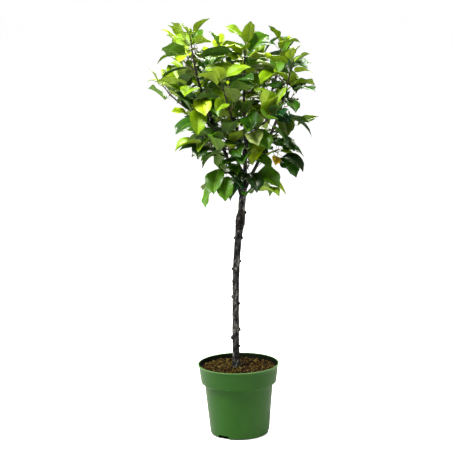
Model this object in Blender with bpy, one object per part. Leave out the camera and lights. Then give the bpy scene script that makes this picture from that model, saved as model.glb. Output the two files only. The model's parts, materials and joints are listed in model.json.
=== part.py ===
"""A dwarf apple tree in a round nursery pot: pot, compost, trunk, boughs and masses of leafy shoots.

Metres, +Z up. The origin is the centre of the pot's flat underside, and the front is -Y.
Each limb is one tapering solid, and each mass of foliage is one solid: a stem, its twigs and its leaves.
"""

import math
import random
from collections import namedtuple

import bmesh
import bpy
from mathutils import Matrix, Vector
from mathutils.bvhtree import BVHTree

# --- Driving dimensions, in metres -------------------------------------------------------------

GAP = 0.0003  # running gap between solids that meet

POT_HEIGHT = 0.222
POT_STEPS = 32
RIM_RADIUS = 0.1250
COLLAR_FOOT_RADIUS = 0.1163
COLLAR_HEIGHT = 0.057
SHOULDER_HEIGHT = 0.008
BODY_TOP_RADIUS = 0.1055
BODY_FOOT_RADIUS = 0.0907
FOOT_ROUND = 0.009
WALL = 0.0020
LIP = 0.0034  # thickness of the rolled lip on the rim
SLOT_COUNT = 3
SLOT_WIDTH = 0.037
SLOT_HEIGHT = 0.0125
SLOT_DEPTH = 0.016
SLOT_AZIMUTH = -124.0  # degrees, of the first drain slot

SOIL_EDGE_Z = 0.2060
SOIL_FLAT_Z = 0.2092  # the level patch that the trunk stands on
SOIL_FLAT_RADIUS = 0.022
SOIL_LUMP = 0.0022

# The trunk's centre line and radius: (x, y, z, radius)
TRUNK_LINE = (
    (-0.0064, 0.000, SOIL_FLAT_Z + GAP, 0.0135),
    (-0.0066, 0.000, 0.2300, 0.0104),
    (-0.0064, 0.000, 0.3000, 0.0098),
    (-0.0043, 0.001, 0.4000, 0.0096),
    (-0.0025, 0.000, 0.4800, 0.0095),
    (0.0020, -0.001, 0.5510, 0.0094),
    (0.0080, 0.000, 0.6150, 0.0096),
    (0.0118, 0.000, 0.6460, 0.0112),
    (0.0160, 0.000, 0.6770, 0.0128),
    (0.0190, 0.000, 0.7000, 0.0094),
    (0.0225, 0.000, 0.7340, 0.0094),
    (0.0294, 0.002, 0.7810, 0.0078),
    (0.0335, 0.006, 0.8400, 0.0060),
    (0.0350, 0.009, 0.9000, 0.0047),
    (0.0340, 0.010, 0.9560, 0.0038),
)
TRUNK_RINGS = 28
TRUNK_SIDES = 12

# Stubs of shoots that were pruned off the trunk: (height, azimuth in degrees, radius)
STUBS = (
    (0.271, -20, 0.0026),
    (0.299, -165, 0.0044),
    (0.324, -15, 0.0046),
    (0.350, 120, 0.0028),
    (0.374, -110, 0.0030),
    (0.404, 10, 0.0028),
    (0.426, 175, 0.0032),
    (0.452, 70, 0.0026),
    (0.476, -140, 0.0024),
    (0.514, -175, 0.0032),
    (0.537, -5, 0.0026),
    (0.581, -100, 0.0030),
    (0.609, 165, 0.0028),
    (0.609, 5, 0.0028),
    (0.651, 0, 0.0034),
    (0.686, 15, 0.0034),
)
STUB_STANDOUT = 0.0040  # how far a stub stands out of the bark

# A limb leaves its parent at a share of the parent's length. A heading is (azimuth, lean from upright),
# in degrees, and the limb turns smoothly from its foot's heading to its tip's.
Limb = namedtuple("Limb", "name parent at foot tip length foot_radius tip_radius")

BOUGHS = (
    Limb("bough_left", "trunk", 0.729, (-155, 22), (-143, 25), 0.277, 0.0064, 0.0042),
    Limb("bough_left_outer", "bough_left", 0.790, (131, 60), (161, 58), 0.132, 0.0030, 0.0024),
    Limb("bough_left_top", "bough_left", 0.930, (109, 56), (119, 37), 0.134, 0.0028, 0.0023),
    Limb("bough_left_inner", "trunk", 0.814, (131, 40), (131, 27), 0.165, 0.0046, 0.0030),
    Limb("bough_right", "trunk", 0.759, (-21, 31), (-31, 26), 0.200, 0.0060, 0.0038),
    Limb("bough_right_inner", "trunk", 0.907, (64, 38), (30, 37), 0.152, 0.0038, 0.0028),
    Limb("bough_front_left", "trunk", 0.882, (-107, 42), (-120, 33), 0.168, 0.0036, 0.0026),
    Limb("bough_front_right", "trunk", 0.937, (-69, 57), (-54, 62), 0.123, 0.0032, 0.0024),
    Limb("bough_back_left", "trunk", 0.861, (101, 47), (114, 31), 0.176, 0.0040, 0.0028),
    Limb("bough_back_right", "trunk", 0.960, (74, 46), (70, 38), 0.151, 0.0034, 0.0026),
    Limb("spur_low_left", "bough_left", 0.184, (-150, 92), (-156, 84), 0.029, 0.0022, 0.0018),
    Limb("spur_low_right", "trunk", 0.708, (-50, 42), (-44, 46), 0.050, 0.0024, 0.0018),
    Limb("spur_right_low", "bough_right", 0.590, (-30, 62), (-18, 68), 0.025, 0.0024, 0.0018),
    Limb("spur_right_mid", "bough_right", 0.865, (4, 50), (10, 52), 0.041, 0.0024, 0.0018),
    Limb("spur_left_low", "bough_left", 0.478, (-172, 62), (-166, 64), 0.041, 0.0024, 0.0018),
    Limb("spur_left_mid", "bough_left", 0.860, (-132, 48), (-142, 50), 0.038, 0.0024, 0.0018),
    Limb("spur_left_back", "bough_left_inner", 0.500, (136, 52), (142, 55), 0.037, 0.0022, 0.0018),
    Limb("spur_front_low", "bough_front_left", 0.420, (-134, 84), (-130, 82), 0.050, 0.0022, 0.0018),
    Limb("spur_centre_front", "trunk", 0.968, (-84, 72), (-82, 70), 0.048, 0.0024, 0.0018),
    Limb("spur_centre_low", "trunk", 0.822, (-84, 60), (-80, 64), 0.042, 0.0024, 0.0018),
    Limb("spur_mid_front", "trunk", 0.905, (-136, 62), (-128, 66), 0.046, 0.0024, 0.0018),
    Limb("spur_back_left", "trunk", 0.872, (168, 58), (162, 62), 0.040, 0.0024, 0.0018),
    Limb("spur_back_right", "trunk", 0.892, (50, 57), (46, 60), 0.042, 0.0024, 0.0018),
)
LIMB_RINGS = 5
LIMB_SIDES = 8

# A mass of foliage grows on from the tip of its limb. Its stem turns to the tip's heading, and twigs and
# leaves come off it by a seeded rule. No leaf reaches further than "reach" from the stem. "age" is that of
# the newest leaves: 0 on a shoot that is still growing, and more on a spur in the shade.
Mass = namedtuple("Mass", "name limb tip length reach twigs twig_length age seed")

MASSES = (
    Mass("leaves_left_leader", "bough_left", (-134, 6), 0.242, 0.120, 3, 0.060, 0.00, 234),
    Mass("leaves_left_outer", "bough_left_outer", (164, 38), 0.094, 0.094, 2, 0.046, 0.05, 1580),
    Mass("leaves_left_top", "bough_left_top", (163, 22), 0.162, 0.110, 2, 0.050, 0.05, 1084),
    Mass("leaves_right_leader", "bough_right", (-24, 11), 0.220, 0.120, 3, 0.055, 0.00, 304),
    Mass("leaves_low_left", "spur_low_left", (-151, 80), 0.030, 0.115, 2, 0.026, 0.85, 2131),
    Mass("leaves_low_right", "spur_low_right", (-40, 65), 0.028, 0.110, 2, 0.026, 0.80, 1768),
    Mass("leaves_right_low", "spur_right_low", (-9, 73), 0.034, 0.115, 1, 0.032, 0.90, 308),
    Mass("leaves_right_mid", "spur_right_mid", (14, 65), 0.045, 0.110, 1, 0.036, 0.30, 1965),
    Mass("leaves_left_low", "spur_left_low", (-159, 69), 0.032, 0.110, 1, 0.032, 0.50, 95),
    Mass("leaves_left_mid", "spur_left_mid", (-159, 59), 0.034, 0.110, 1, 0.032, 0.30, 16),
    Mass("leaves_front_low", "spur_front_low", (-120, 58), 0.034, 0.110, 1, 0.032, 0.30, 847),
    Mass("leaves_centre_low", "spur_centre_low", (-74, 66), 0.034, 0.110, 1, 0.032, 0.60, 900),
    Mass("leaves_mid_front", "spur_mid_front", (-112, 60), 0.034, 0.110, 1, 0.032, 0.40, 239),
    Mass("leaves_centre_front", "spur_centre_front", (-74, 52), 0.040, 0.110, 1, 0.036, 0.30, 737),
    Mass("leaves_front_right", "bough_front_right", (-54, 43), 0.070, 0.110, 2, 0.045, 0.15, 562),
    Mass("leaves_front_left", "bough_front_left", (-118, 21), 0.118, 0.110, 2, 0.050, 0.10, 643),
    Mass("leaves_right_inner", "bough_right_inner", (44, 2), 0.204, 0.115, 3, 0.055, 0.00, 324),
    Mass("leaves_centre", "trunk", (-67, 12), 0.250, 0.115, 3, 0.055, 0.05, 89),
    Mass("leaves_left_inner", "bough_left_inner", (10, 16), 0.250, 0.115, 3, 0.055, 0.05, 388),
    Mass("leaves_back_right", "bough_back_right", (65, 15), 0.126, 0.115, 3, 0.055, 0.10, 418),
    Mass("leaves_back_left", "bough_back_left", (94, 9), 0.150, 0.115, 3, 0.055, 0.10, 430),
    Mass("leaves_left_back", "spur_left_back", (149, 63), 0.044, 0.110, 1, 0.036, 0.40, 371),
    Mass("leaves_back_low_left", "spur_back_left", (148, 72), 0.044, 0.110, 1, 0.036, 0.45, 440),
    Mass("leaves_back_low_right", "spur_back_right", (39, 70), 0.044, 0.110, 1, 0.036, 0.45, 759),
)

STEM_RINGS = 5
STEM_SIDES = 6
STEM_TIP_RADIUS = 0.0013
TWIG_SIDES = 3
TWIG_RINGS = 3
TWIG_RADIUS = 0.0017
TWIG_TIP_RADIUS = 0.0011
TWIG_AGE = 0.30  # of the newest leaf on a side twig

LEAF_LENGTH = 0.085  # of a grown leaf's blade
YOUNG_LEAF_LENGTH = 0.052
LEAF_WIDTH_SHARE = 0.60
LEAF_THICKNESS = 0.0013
PETIOLE_SHARE = 0.34  # of the blade's length
PETIOLE_RADIUS = 0.0009
LEAF_SPACING = 0.023
PHYLLOTAXY = 144.0  # degrees from each leaf to the next one up the shoot
TIP_LEAVES = 2  # extra leaves in the tuft at a shoot's tip
CLEARANCE = 0.0007  # kept between a leaf and whatever is not its own shoot
SPACE_SLACK = 0.020  # how much nearer another mass's stem may be than a leaf's own


# --- Curves --------------------------------------------------------------------------------------


def direction(azimuth, lean):
    """The unit vector of a heading in degrees."""
    around = math.radians(azimuth)
    down = math.radians(lean)
    return Vector((math.sin(down) * math.cos(around), math.sin(down) * math.sin(around), math.cos(down)))


def arc(start, foot, tip, length, steps):
    """A smooth line of the given length that turns from one direction to another."""
    points = [Vector(start)]
    for step in range(steps):
        heading = foot.lerp(tip, (step + 0.5) / steps).normalized()
        points.append(points[-1] + heading * (length / steps))
    return points


def along(points, share):
    """The point at a share of a polyline's count of segments, and the direction there."""
    place = min(max(share, 0.0), 1.0) * (len(points) - 1)
    index = min(int(place), len(points) - 2)
    step = points[index + 1] - points[index]
    return points[index] + step * (place - index), step.normalized()


def catmull(knots, share):
    """A smooth curve through knots of any size, at a share of their count."""
    place = share * (len(knots) - 1)
    index = min(int(place), len(knots) - 2)
    t = place - index
    last = len(knots) - 1
    a, b, c, d = (Vector(knots[min(max(index + k, 0), last)]) for k in (-1, 0, 1, 2))
    return 0.5 * (2 * b + (c - a) * t + (2 * a - 5 * b + 4 * c - d) * t * t + (3 * b - a - 3 * c + d) * t**3)


def side_vector(axis, azimuth):
    """A unit vector square to axis, at an azimuth in degrees around it."""
    flat = Vector((0, 0, 1)).cross(axis)
    if flat.length < 1e-4:
        flat = Vector((1, 0, 0))
    return Matrix.Rotation(math.radians(azimuth), 3, axis) @ flat.normalized()


def tube(points, radii, sides):
    """A closed tube along points: (vertices, faces)."""
    vertices = []
    faces = []
    across = None
    for index, point in enumerate(points):
        ahead = points[min(index + 1, len(points) - 1)]
        behind = points[max(index - 1, 0)]
        axis = (ahead - behind).normalized()
        across = side_vector(axis, 0) if across is None else (across - axis * across.dot(axis)).normalized()
        other = axis.cross(across)
        for k in range(sides):
            turn = 2 * math.pi * k / sides
            vertices.append(point + (across * math.cos(turn) + other * math.sin(turn)) * radii[index])
    for ring in range(len(points) - 1):
        for k in range(sides):
            a = ring * sides + k
            b = ring * sides + (k + 1) % sides
            faces.append((a, b, b + sides, a + sides))
    faces.append(tuple(range(sides - 1, -1, -1)))
    faces.append(tuple(range(len(vertices) - sides, len(vertices))))
    return vertices, faces


def taper(first, last, count):
    return [first + (last - first) * k / (count - 1) for k in range(count)]


# --- The growth rule -----------------------------------------------------------------------------

Shoot = namedtuple("Shoot", "points radii sides young")
Leaf = namedtuple("Leaf", "root joint heading side pitch bend fold length width")


def blade_half_width(share):
    """The blade's outline: half its width, as a share of the greatest, at a share of its length."""
    return math.sin(math.pi * share**0.85) ** 0.70


def leaf_station(leaf, share):
    """A point on the midrib, the direction along it and the blade's normal there."""
    point = leaf.joint.copy()
    pieces = 6
    for k in range(pieces):
        angle = leaf.pitch - leaf.bend * share * (k + 0.5) / pieces
        step = leaf.heading * math.cos(angle) + Vector((0, 0, 1)) * math.sin(angle)
        point += step * (leaf.length * share / pieces)
    angle = leaf.pitch - leaf.bend * share
    ahead = leaf.heading * math.cos(angle) + Vector((0, 0, 1)) * math.sin(angle)
    across = (leaf.side - ahead * leaf.side.dot(ahead)).normalized()
    return point, ahead, across, across.cross(ahead)


def leaf_solid(leaf, extra=0.0, petiole_from=0.0):
    """A leaf with its stalk as one closed solid: (vertices, faces). extra makes it that much fatter."""
    root = leaf.root.lerp(leaf.joint, petiole_from)
    stalk = (leaf.joint - root).normalized()
    across = (leaf.side - stalk * leaf.side.dot(stalk)).normalized()
    up = across.cross(stalk)
    radius = PETIOLE_RADIUS + extra
    corners = (across * -0.87 + up * 0.5, across * 0.87 + up * 0.5, up * -1.0)
    vertices = [root + corner * radius for corner in corners]
    vertices += [leaf.joint + corner * radius for corner in corners]
    for share in (0.29, 0.68):
        point, _, wide, normal = leaf_station(leaf, share)
        half = leaf.width / 2 * blade_half_width(share) + extra
        edge = wide * (half * math.cos(leaf.fold))
        rise = normal * (half * math.sin(leaf.fold))
        thick = normal * (LEAF_THICKNESS / 2 + extra)
        vertices += [point - edge + rise, point + edge + rise, point + thick, point - thick]
    point, ahead, _, _ = leaf_station(leaf, 1.0)
    vertices.append(point + ahead * extra)
    left, right, under = 3, 4, 5
    left_1, right_1, top_1, low_1 = 6, 7, 8, 9
    left_2, right_2, top_2, low_2 = 10, 11, 12, 13
    tip = 14
    faces = [
        (0, 2, 1),
        (0, 1, right, left),
        (1, 2, under, right),
        (2, 0, left, under),
        (left, right, top_1),
        (left, top_1, left_1),
        (right, right_1, top_1),
        (left_1, top_1, top_2),
        (left_1, top_2, left_2),
        (left_2, top_2, tip),
        (right_1, top_2, top_1),
        (right_1, right_2, top_2),
        (right_2, tip, top_2),
        (left, left_1, under),
        (under, left_1, low_1),
        (right, under, right_1),
        (under, low_1, right_1),
        (left_1, low_2, low_1),
        (left_1, left_2, low_2),
        (left_2, tip, low_2),
        (right_1, low_1, low_2),
        (right_1, low_2, right_2),
        (right_2, low_2, tip),
    ]
    return vertices, faces


def new_leaf(shoot, share, azimuth, age, draws):
    """A leaf on a shoot. age runs from 0 at a growing tip to 1 on old wood, and draws are in -1..1."""
    root, axis = along(shoot.points, share)
    out = side_vector(axis, azimuth + 25 * draws[0])
    opening = math.radians(30 + 38 * age + 10 * draws[1])
    stalk = axis * math.cos(opening) + out * math.sin(opening)
    heading = Vector((stalk.x, stalk.y, 0))
    if heading.length < 0.2:
        heading = Vector((out.x, out.y, 0))
    heading.normalize()
    grown = min(1.0, 0.15 + 1.5 * age)
    length = (YOUNG_LEAF_LENGTH + (LEAF_LENGTH - YOUNG_LEAF_LENGTH) * grown) * (1 + 0.16 * draws[2])
    joint = root + stalk * (length * PETIOLE_SHARE)
    pitch = math.radians(54 - 56 * age + 26 * draws[3])
    bend = math.radians(26 + 26 * age + 20 * draws[4])
    roll = Matrix.Rotation(math.radians(32 * draws[5]), 3, heading)
    side = roll @ heading.cross(Vector((0, 0, 1)))
    fold = math.radians(18 + 12 * draws[6])
    return Leaf(root, joint, heading, side, pitch, bend, fold, length, length * LEAF_WIDTH_SHARE)


def distance_to(points, place):
    """The least distance from a place to a polyline."""
    least = 1e9
    for first, second in zip(points, points[1:]):
        step = second - first
        share = min(max((place - first).dot(step) / step.length_squared, 0.0), 1.0)
        least = min(least, (first + step * share - place).length)
    return least


def bvh(solid):
    return BVHTree.FromPolygons(solid[0], solid[1])


def touches(solid, placed):
    tree = bvh(solid)
    return any(tree.overlap(other) for other in placed)


def shoot_bvh(shoot):
    return bvh(tube(shoot.points, shoot.radii, shoot.sides))


def grow_stem(mass, limbs):
    """The mass's own stem, which runs on from its limb's tip and keeps a gap to it."""
    points, radii = limbs[mass.limb]
    ahead = (points[-1] - points[-2]).normalized()
    line = arc(points[-1] + ahead * GAP, ahead, direction(*mass.tip), mass.length, STEM_RINGS)
    return Shoot(line, taper(radii[-1], STEM_TIP_RADIUS, STEM_RINGS + 1), STEM_SIDES, mass.age)


def grow_twigs(mass, stem, rng, placed):
    """Twigs that leave the stem in a spiral, and turn upwards as they run out."""
    twigs = []
    azimuth = rng.uniform(0, 360)
    for index in range(mass.twigs):
        share = 0.12 + 0.66 * (index + 0.5 * rng.random()) / mass.twigs
        azimuth += 137.5 + rng.uniform(-20, 20)
        lean = math.radians(rng.uniform(46, 66))
        length = mass.twig_length * (1.15 - 0.5 * share) * rng.uniform(0.85, 1.15)
        root, axis = along(stem.points, share)
        foot = axis * math.cos(lean) + side_vector(axis, azimuth) * math.sin(lean)
        line = arc(root, foot, (foot + Vector((0, 0, 0.7))).normalized(), length, TWIG_RINGS)
        clear = [root + foot * (2 * stem.radii[0] + 2 * CLEARANCE)] + line[1:]
        radii = taper(TWIG_RADIUS, TWIG_TIP_RADIUS, TWIG_RINGS + 1)
        if not touches(tube(clear, [r + CLEARANCE for r in radii], TWIG_SIDES), placed):
            twigs.append(Shoot(line, radii, TWIG_SIDES, max(mass.age, TWIG_AGE)))
    return twigs


def leaf_fits(leaf, mass, shoots, stems, placed):
    """True if the leaf keeps to its mass's own space and touches nothing."""
    stations = [leaf_station(leaf, share)[0] for share in (0.0, 0.5, 1.0)]
    own = stems[mass.name].points
    if max(distance_to(own, place) for place in stations) > mass.reach:
        return False
    middle = stations[1]
    near = distance_to(own, middle)
    for name, stem in stems.items():
        if name != mass.name and distance_to(stem.points, middle) < near - SPACE_SLACK:
            return False
    if touches(leaf_solid(leaf, CLEARANCE, 0.8), [shoot_bvh(shoot) for shoot in shoots]):
        return False
    return not touches(leaf_solid(leaf, CLEARANCE, 0.2), placed)


def grow_leaves(mass, shoots, rng, stems, placed):
    """Leaves up each shoot, one every LEAF_SPACING by the PHYLLOTAXY, closer together at its tip."""
    leaves = []
    for shoot in shoots:
        length = sum((b - a).length for a, b in zip(shoot.points, shoot.points[1:]))
        count = round(length / LEAF_SPACING) + TIP_LEAVES
        azimuth = rng.uniform(0, 360)
        for index in range(count):
            share = 0.98 - 0.91 * (index / count) ** 1.35
            azimuth += PHYLLOTAXY
            age = min(1.0, shoot.young + (1 - shoot.young) * (index / count) ** 0.8)
            draws = [rng.uniform(-1, 1) for _ in range(7)]
            for turn in (0, 40, -40, 80, -80):
                leaf = new_leaf(shoot, share, azimuth + turn, age, draws)
                if leaf_fits(leaf, mass, shoots, stems, placed):
                    leaves.append(leaf)
                    placed.append(bvh(leaf_solid(leaf, 0.0, 0.2)))
                    break
    return leaves


def grow_limbs():
    """The centre line and radii of the trunk and of each bough, by name."""
    steps = [k / TRUNK_RINGS for k in range(TRUNK_RINGS + 1)]
    line = [catmull([knot[:3] for knot in TRUNK_LINE], share) for share in steps]
    girth = [catmull([(knot[3], 0, 0) for knot in TRUNK_LINE], share).x for share in steps]
    line[0].z = TRUNK_LINE[0][2]
    limbs = {"trunk": (line, girth)}
    for limb in BOUGHS:
        start, _ = along(limbs[limb.parent][0], limb.at)
        line = arc(start, direction(*limb.foot), direction(*limb.tip), limb.length, LIMB_RINGS)
        limbs[limb.name] = (line, taper(limb.foot_radius, limb.tip_radius, LIMB_RINGS + 1))
    return limbs


def grow_tree():
    """Everything that grows: limbs, and for each mass its stem, twigs and leaves."""
    limbs = grow_limbs()
    sides = {name: LIMB_SIDES for name in limbs}
    sides["trunk"] = TRUNK_SIDES
    placed = [bvh(tube(line, radii, sides[name])) for name, (line, radii) in limbs.items()]
    stems = {mass.name: grow_stem(mass, limbs) for mass in MASSES}
    shoots = {}
    leaves = {}
    for mass in MASSES:
        rng = random.Random(mass.seed)
        others = [shoot_bvh(stem) for name, stem in stems.items() if name != mass.name]
        twigs = grow_twigs(mass, stems[mass.name], rng, placed + others)
        shoots[mass.name] = [stems[mass.name]] + twigs
        taken = placed + others
        leaves[mass.name] = grow_leaves(mass, shoots[mass.name], rng, stems, taken)
        placed += taken[len(placed) + len(others) :]
        placed += [shoot_bvh(twig) for twig in twigs]
    return limbs, shoots, leaves


# --- Making the objects --------------------------------------------------------------------------


def material(name, colour, roughness):
    """A Principled material with one colour, given as sRGB bytes."""
    made = bpy.data.materials.new(name)
    made.use_nodes = True
    shader = made.node_tree.nodes["Principled BSDF"]
    linear = [(c / 255 / 12.92) if c < 11 else ((c / 255 + 0.055) / 1.055) ** 2.4 for c in colour]
    shader.inputs["Base Color"].default_value = (*linear, 1.0)
    shader.inputs["Roughness"].default_value = roughness
    shader.inputs["Metallic"].default_value = 0.0
    return made


def add_object(name, solid, surface=None):
    """An object made from (vertices, faces)."""
    mesh = bpy.data.meshes.new(name)
    mesh.from_pydata([tuple(v) for v in solid[0]], [], solid[1])
    made = bpy.data.objects.new(name, mesh)
    bpy.context.scene.collection.objects.link(made)
    if surface:
        mesh.materials.append(surface)
    return made


def turned_object(name, profile, steps, surface):
    """An object turned about Z from a profile of (radius, z), with its two ends closed by flat faces."""
    mesh = bpy.data.meshes.new(name)
    work = bmesh.new()
    verts = [work.verts.new((radius, 0, z)) for radius, z in profile]
    edges = [work.edges.new(pair) for pair in zip(verts, verts[1:])]
    whole = 2 * math.pi
    bmesh.ops.spin(work, geom=verts + edges, axis=(0, 0, 1), angle=whole, steps=steps, use_merge=True)
    bmesh.ops.remove_doubles(work, verts=work.verts, dist=1e-6)
    bmesh.ops.holes_fill(work, edges=[edge for edge in work.edges if edge.is_boundary], sides=0)
    bmesh.ops.recalc_face_normals(work, faces=work.faces)
    work.to_mesh(mesh)
    work.free()
    made = bpy.data.objects.new(name, mesh)
    bpy.context.scene.collection.objects.link(made)
    mesh.materials.append(surface)
    return made


def add_boolean(target, tool, operation):
    """Cut or join by a tool object, which stays in the scene as a hidden wire guide."""
    tool.hide_render = True
    tool.display_type = "WIRE"
    modifier = target.modifiers.new(tool.name, "BOOLEAN")
    modifier.object = tool
    modifier.operation = operation
    modifier.solver = "EXACT"


def keep_largest_shell(mesh):
    """Remove loose scraps and the shells of sealed hollows from a mesh."""
    work = bmesh.new()
    work.from_mesh(mesh)
    left = set(work.faces)
    shells = []
    while left:
        front = [left.pop()]
        shell = list(front)
        while front:
            face = front.pop()
            for edge in face.edges:
                for other in edge.link_faces:
                    if other in left:
                        left.remove(other)
                        shell.append(other)
                        front.append(other)
        shells.append(shell)
    shells.sort(key=len)
    for shell in shells[:-1]:
        bmesh.ops.delete(work, geom=shell, context="FACES")
    work.to_mesh(mesh)
    work.free()


def smooth(made, angle):
    made.data.shade_smooth()
    made.data.set_sharp_from_angle(angle=math.radians(angle))


def rounded(centre, radius, first, last, steps):
    """Points on an arc of a profile, from one angle to another in degrees."""
    turns = [math.radians(first + (last - first) * k / steps) for k in range(steps + 1)]
    return [(centre[0] + radius * math.cos(a), centre[1] + radius * math.sin(a)) for a in turns]


def wall_radius(z):
    """The outer radius of the pot's wall at a height."""
    shoulder_top = POT_HEIGHT - COLLAR_HEIGHT
    shoulder_foot = shoulder_top - SHOULDER_HEIGHT
    if z > shoulder_top:
        share = (z - shoulder_top) / COLLAR_HEIGHT
        return COLLAR_FOOT_RADIUS + (RIM_RADIUS - LIP / 2 - COLLAR_FOOT_RADIUS) * share
    if z > shoulder_foot:
        share = (z - shoulder_foot) / SHOULDER_HEIGHT
        return BODY_TOP_RADIUS + (COLLAR_FOOT_RADIUS - BODY_TOP_RADIUS) * share
    return BODY_FOOT_RADIUS + (BODY_TOP_RADIUS - BODY_FOOT_RADIUS) * z / shoulder_foot


def make_pot(surface):
    """The pot: a rounded foot, a tapered body, a shoulder, a flared collar and a rolled lip."""
    shoulder_top = POT_HEIGHT - COLLAR_HEIGHT
    shoulder_foot = shoulder_top - SHOULDER_HEIGHT
    bend = (wall_radius(FOOT_ROUND) - FOOT_ROUND, FOOT_ROUND)
    lip = (RIM_RADIUS - LIP / 2, POT_HEIGHT - LIP / 2)
    profile = rounded(bend, FOOT_ROUND, -90, 0, 4)
    profile += [(BODY_TOP_RADIUS, shoulder_foot), (COLLAR_FOOT_RADIUS, shoulder_top)]
    profile += rounded(lip, LIP / 2, -60, 180, 5)
    inner = (lip[0] - LIP / 2, POT_HEIGHT - 2 * LIP)
    profile += [(min(inner[0], wall_radius(inner[1]) - WALL), inner[1])]
    profile += [(COLLAR_FOOT_RADIUS - WALL, shoulder_top), (BODY_TOP_RADIUS - WALL, shoulder_foot)]
    profile += rounded(bend, FOOT_ROUND - WALL, 0, -90, 3)
    pot = turned_object("pot", profile, POT_STEPS, surface)
    for index in range(SLOT_COUNT):
        azimuth = math.radians(SLOT_AZIMUTH + 360 * index / SLOT_COUNT)
        bpy.ops.mesh.primitive_cube_add(size=1)
        slot = bpy.context.object
        slot.name = f"slot_cutter_{index + 1}"
        slot.dimensions = (2 * SLOT_DEPTH, SLOT_WIDTH, 2 * SLOT_HEIGHT)
        bpy.ops.object.transform_apply(location=False, rotation=False, scale=True)
        slot.location = (BODY_FOOT_RADIUS * math.cos(azimuth), BODY_FOOT_RADIUS * math.sin(azimuth), 0)
        slot.rotation_euler = (0, 0, azimuth)
        add_boolean(pot, slot, "DIFFERENCE")
    smooth(pot, 35)
    return pot


def make_soil(surface):
    """The compost: it fills the pot, clear of its wall, and heaves a little round the trunk."""
    rng = random.Random(5)
    shoulder_top = POT_HEIGHT - COLLAR_HEIGHT
    shoulder_foot = shoulder_top - SHOULDER_HEIGHT
    inset = WALL + GAP + 0.0002
    floor = WALL + GAP
    profile = [(BODY_FOOT_RADIUS - SLOT_DEPTH - 0.002, floor), (wall_radius(0.018) - inset, 0.018)]
    profile += [(BODY_TOP_RADIUS - inset, shoulder_foot + GAP)]
    profile += [(COLLAR_FOOT_RADIUS - inset, shoulder_top + GAP)]
    edge = wall_radius(SOIL_EDGE_Z) - inset
    profile += [(edge, SOIL_EDGE_Z)]
    rings = 6
    for ring in range(1, rings + 1):
        share = ring / rings
        radius = edge + (SOIL_FLAT_RADIUS - edge) * share
        profile.append((radius, SOIL_EDGE_Z + (SOIL_FLAT_Z - SOIL_EDGE_Z) * share))
    soil = turned_object("soil", profile, POT_STEPS, surface)
    for vertex in soil.data.vertices:
        radius = math.hypot(vertex.co.x, vertex.co.y)
        if vertex.co.z > SOIL_EDGE_Z + 0.0001 and SOIL_FLAT_RADIUS + 0.001 < radius:
            vertex.co.z += rng.uniform(-SOIL_LUMP, SOIL_LUMP)
    smooth(soil, 60)
    return soil


def make_trunk(limbs, surface):
    """The trunk, from the flat cut on the compost to its tip in the crown, with its pruned stubs."""
    line, girth = limbs["trunk"]
    trunk = add_object("trunk", tube(line, girth, TRUNK_SIDES), surface)
    for index, (height, azimuth, radius) in enumerate(STUBS):
        ring = min(range(len(line)), key=lambda k: abs(line[k].z - height))
        around = direction(azimuth, 62)
        foot = line[ring] + Vector((0, 0, height - line[ring].z))
        reach = girth[ring] / math.sin(math.radians(62)) + STUB_STANDOUT
        stub = tube([foot, foot + around * reach], [radius * 1.2, radius], 6)
        add_boolean(trunk, add_object(f"stub_tool_{index + 1}", stub), "UNION")
    smooth(trunk, 50)
    return trunk


def make_boughs(limbs, surface):
    """Each bough, cut to its parent's bark."""
    for limb in BOUGHS:
        line, girth = limbs[limb.name]
        bough = add_object(limb.name, tube(line, girth, LIMB_SIDES), surface)
        parent_line, parent_girth = limbs[limb.parent]
        sides = TRUNK_SIDES if limb.parent == "trunk" else LIMB_SIDES
        cutter = tube(parent_line, [radius + 1.3 * GAP for radius in parent_girth], sides)
        add_boolean(bough, add_object(f"cutter_for_{limb.name}", cutter), "DIFFERENCE")
        smooth(bough, 50)


def make_mass(mass, shoots, leaves, surface):
    """A mass of foliage: the stem, with its twigs and leaves fused on."""
    stem = shoots[0]
    made = add_object(mass.name, tube(stem.points, stem.radii, stem.sides), surface)
    pieces = bpy.data.collections.new(f"{mass.name}_pieces")
    bpy.context.scene.collection.children.link(pieces)
    solids = [tube(twig.points, twig.radii, twig.sides) for twig in shoots[1:]]
    solids += [leaf_solid(leaf) for leaf in leaves]
    for index, solid in enumerate(solids):
        piece = add_object(f"{mass.name}_piece_{index + 1}", solid)
        bpy.context.scene.collection.objects.unlink(piece)
        pieces.objects.link(piece)
    modifier = made.modifiers.new("fuse", "BOOLEAN")
    modifier.operand_type = "COLLECTION"
    modifier.collection = pieces
    modifier.operation = "UNION"
    modifier.solver = "MANIFOLD"
    shape = made.evaluated_get(bpy.context.evaluated_depsgraph_get())
    fused = bpy.data.meshes.new_from_object(shape)
    made.modifiers.clear()
    made.data = fused
    for piece in list(pieces.objects):
        bpy.data.objects.remove(piece)
    bpy.data.collections.remove(pieces)
    keep_largest_shell(made.data)
    smooth(made, 40)


def main():
    for old in list(bpy.data.objects):
        bpy.data.objects.remove(old)
    limbs, shoots, leaves = grow_tree()
    bark = material("bark", (86, 76, 66), 0.85)
    foliage = material("foliage", (82, 128, 44), 0.50)
    make_pot(material("green_plastic", (62, 104, 52), 0.42))
    make_soil(material("compost", (84, 66, 44), 0.95))
    make_trunk(limbs, bark)
    make_boughs(limbs, bark)
    for mass in MASSES:
        make_mass(mass, shoots[mass.name], leaves[mass.name], foliage)


main()
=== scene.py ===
"""The looks of a dwarf fruit tree in its nursery pot.

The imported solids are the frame. The pot, the compost, the bark and every leaf are made again here, in
metres and in the same frame, and each piece takes the place of its solids. The origin is the centre of
the pot's underside, and the front is -Y.
"""

import json
import random
from collections import namedtuple
from math import cos, exp, hypot, pi, radians, sin, sqrt

import bpy
from mathutils import Matrix, Vector, noise
from mathutils.bvhtree import BVHTree

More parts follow.
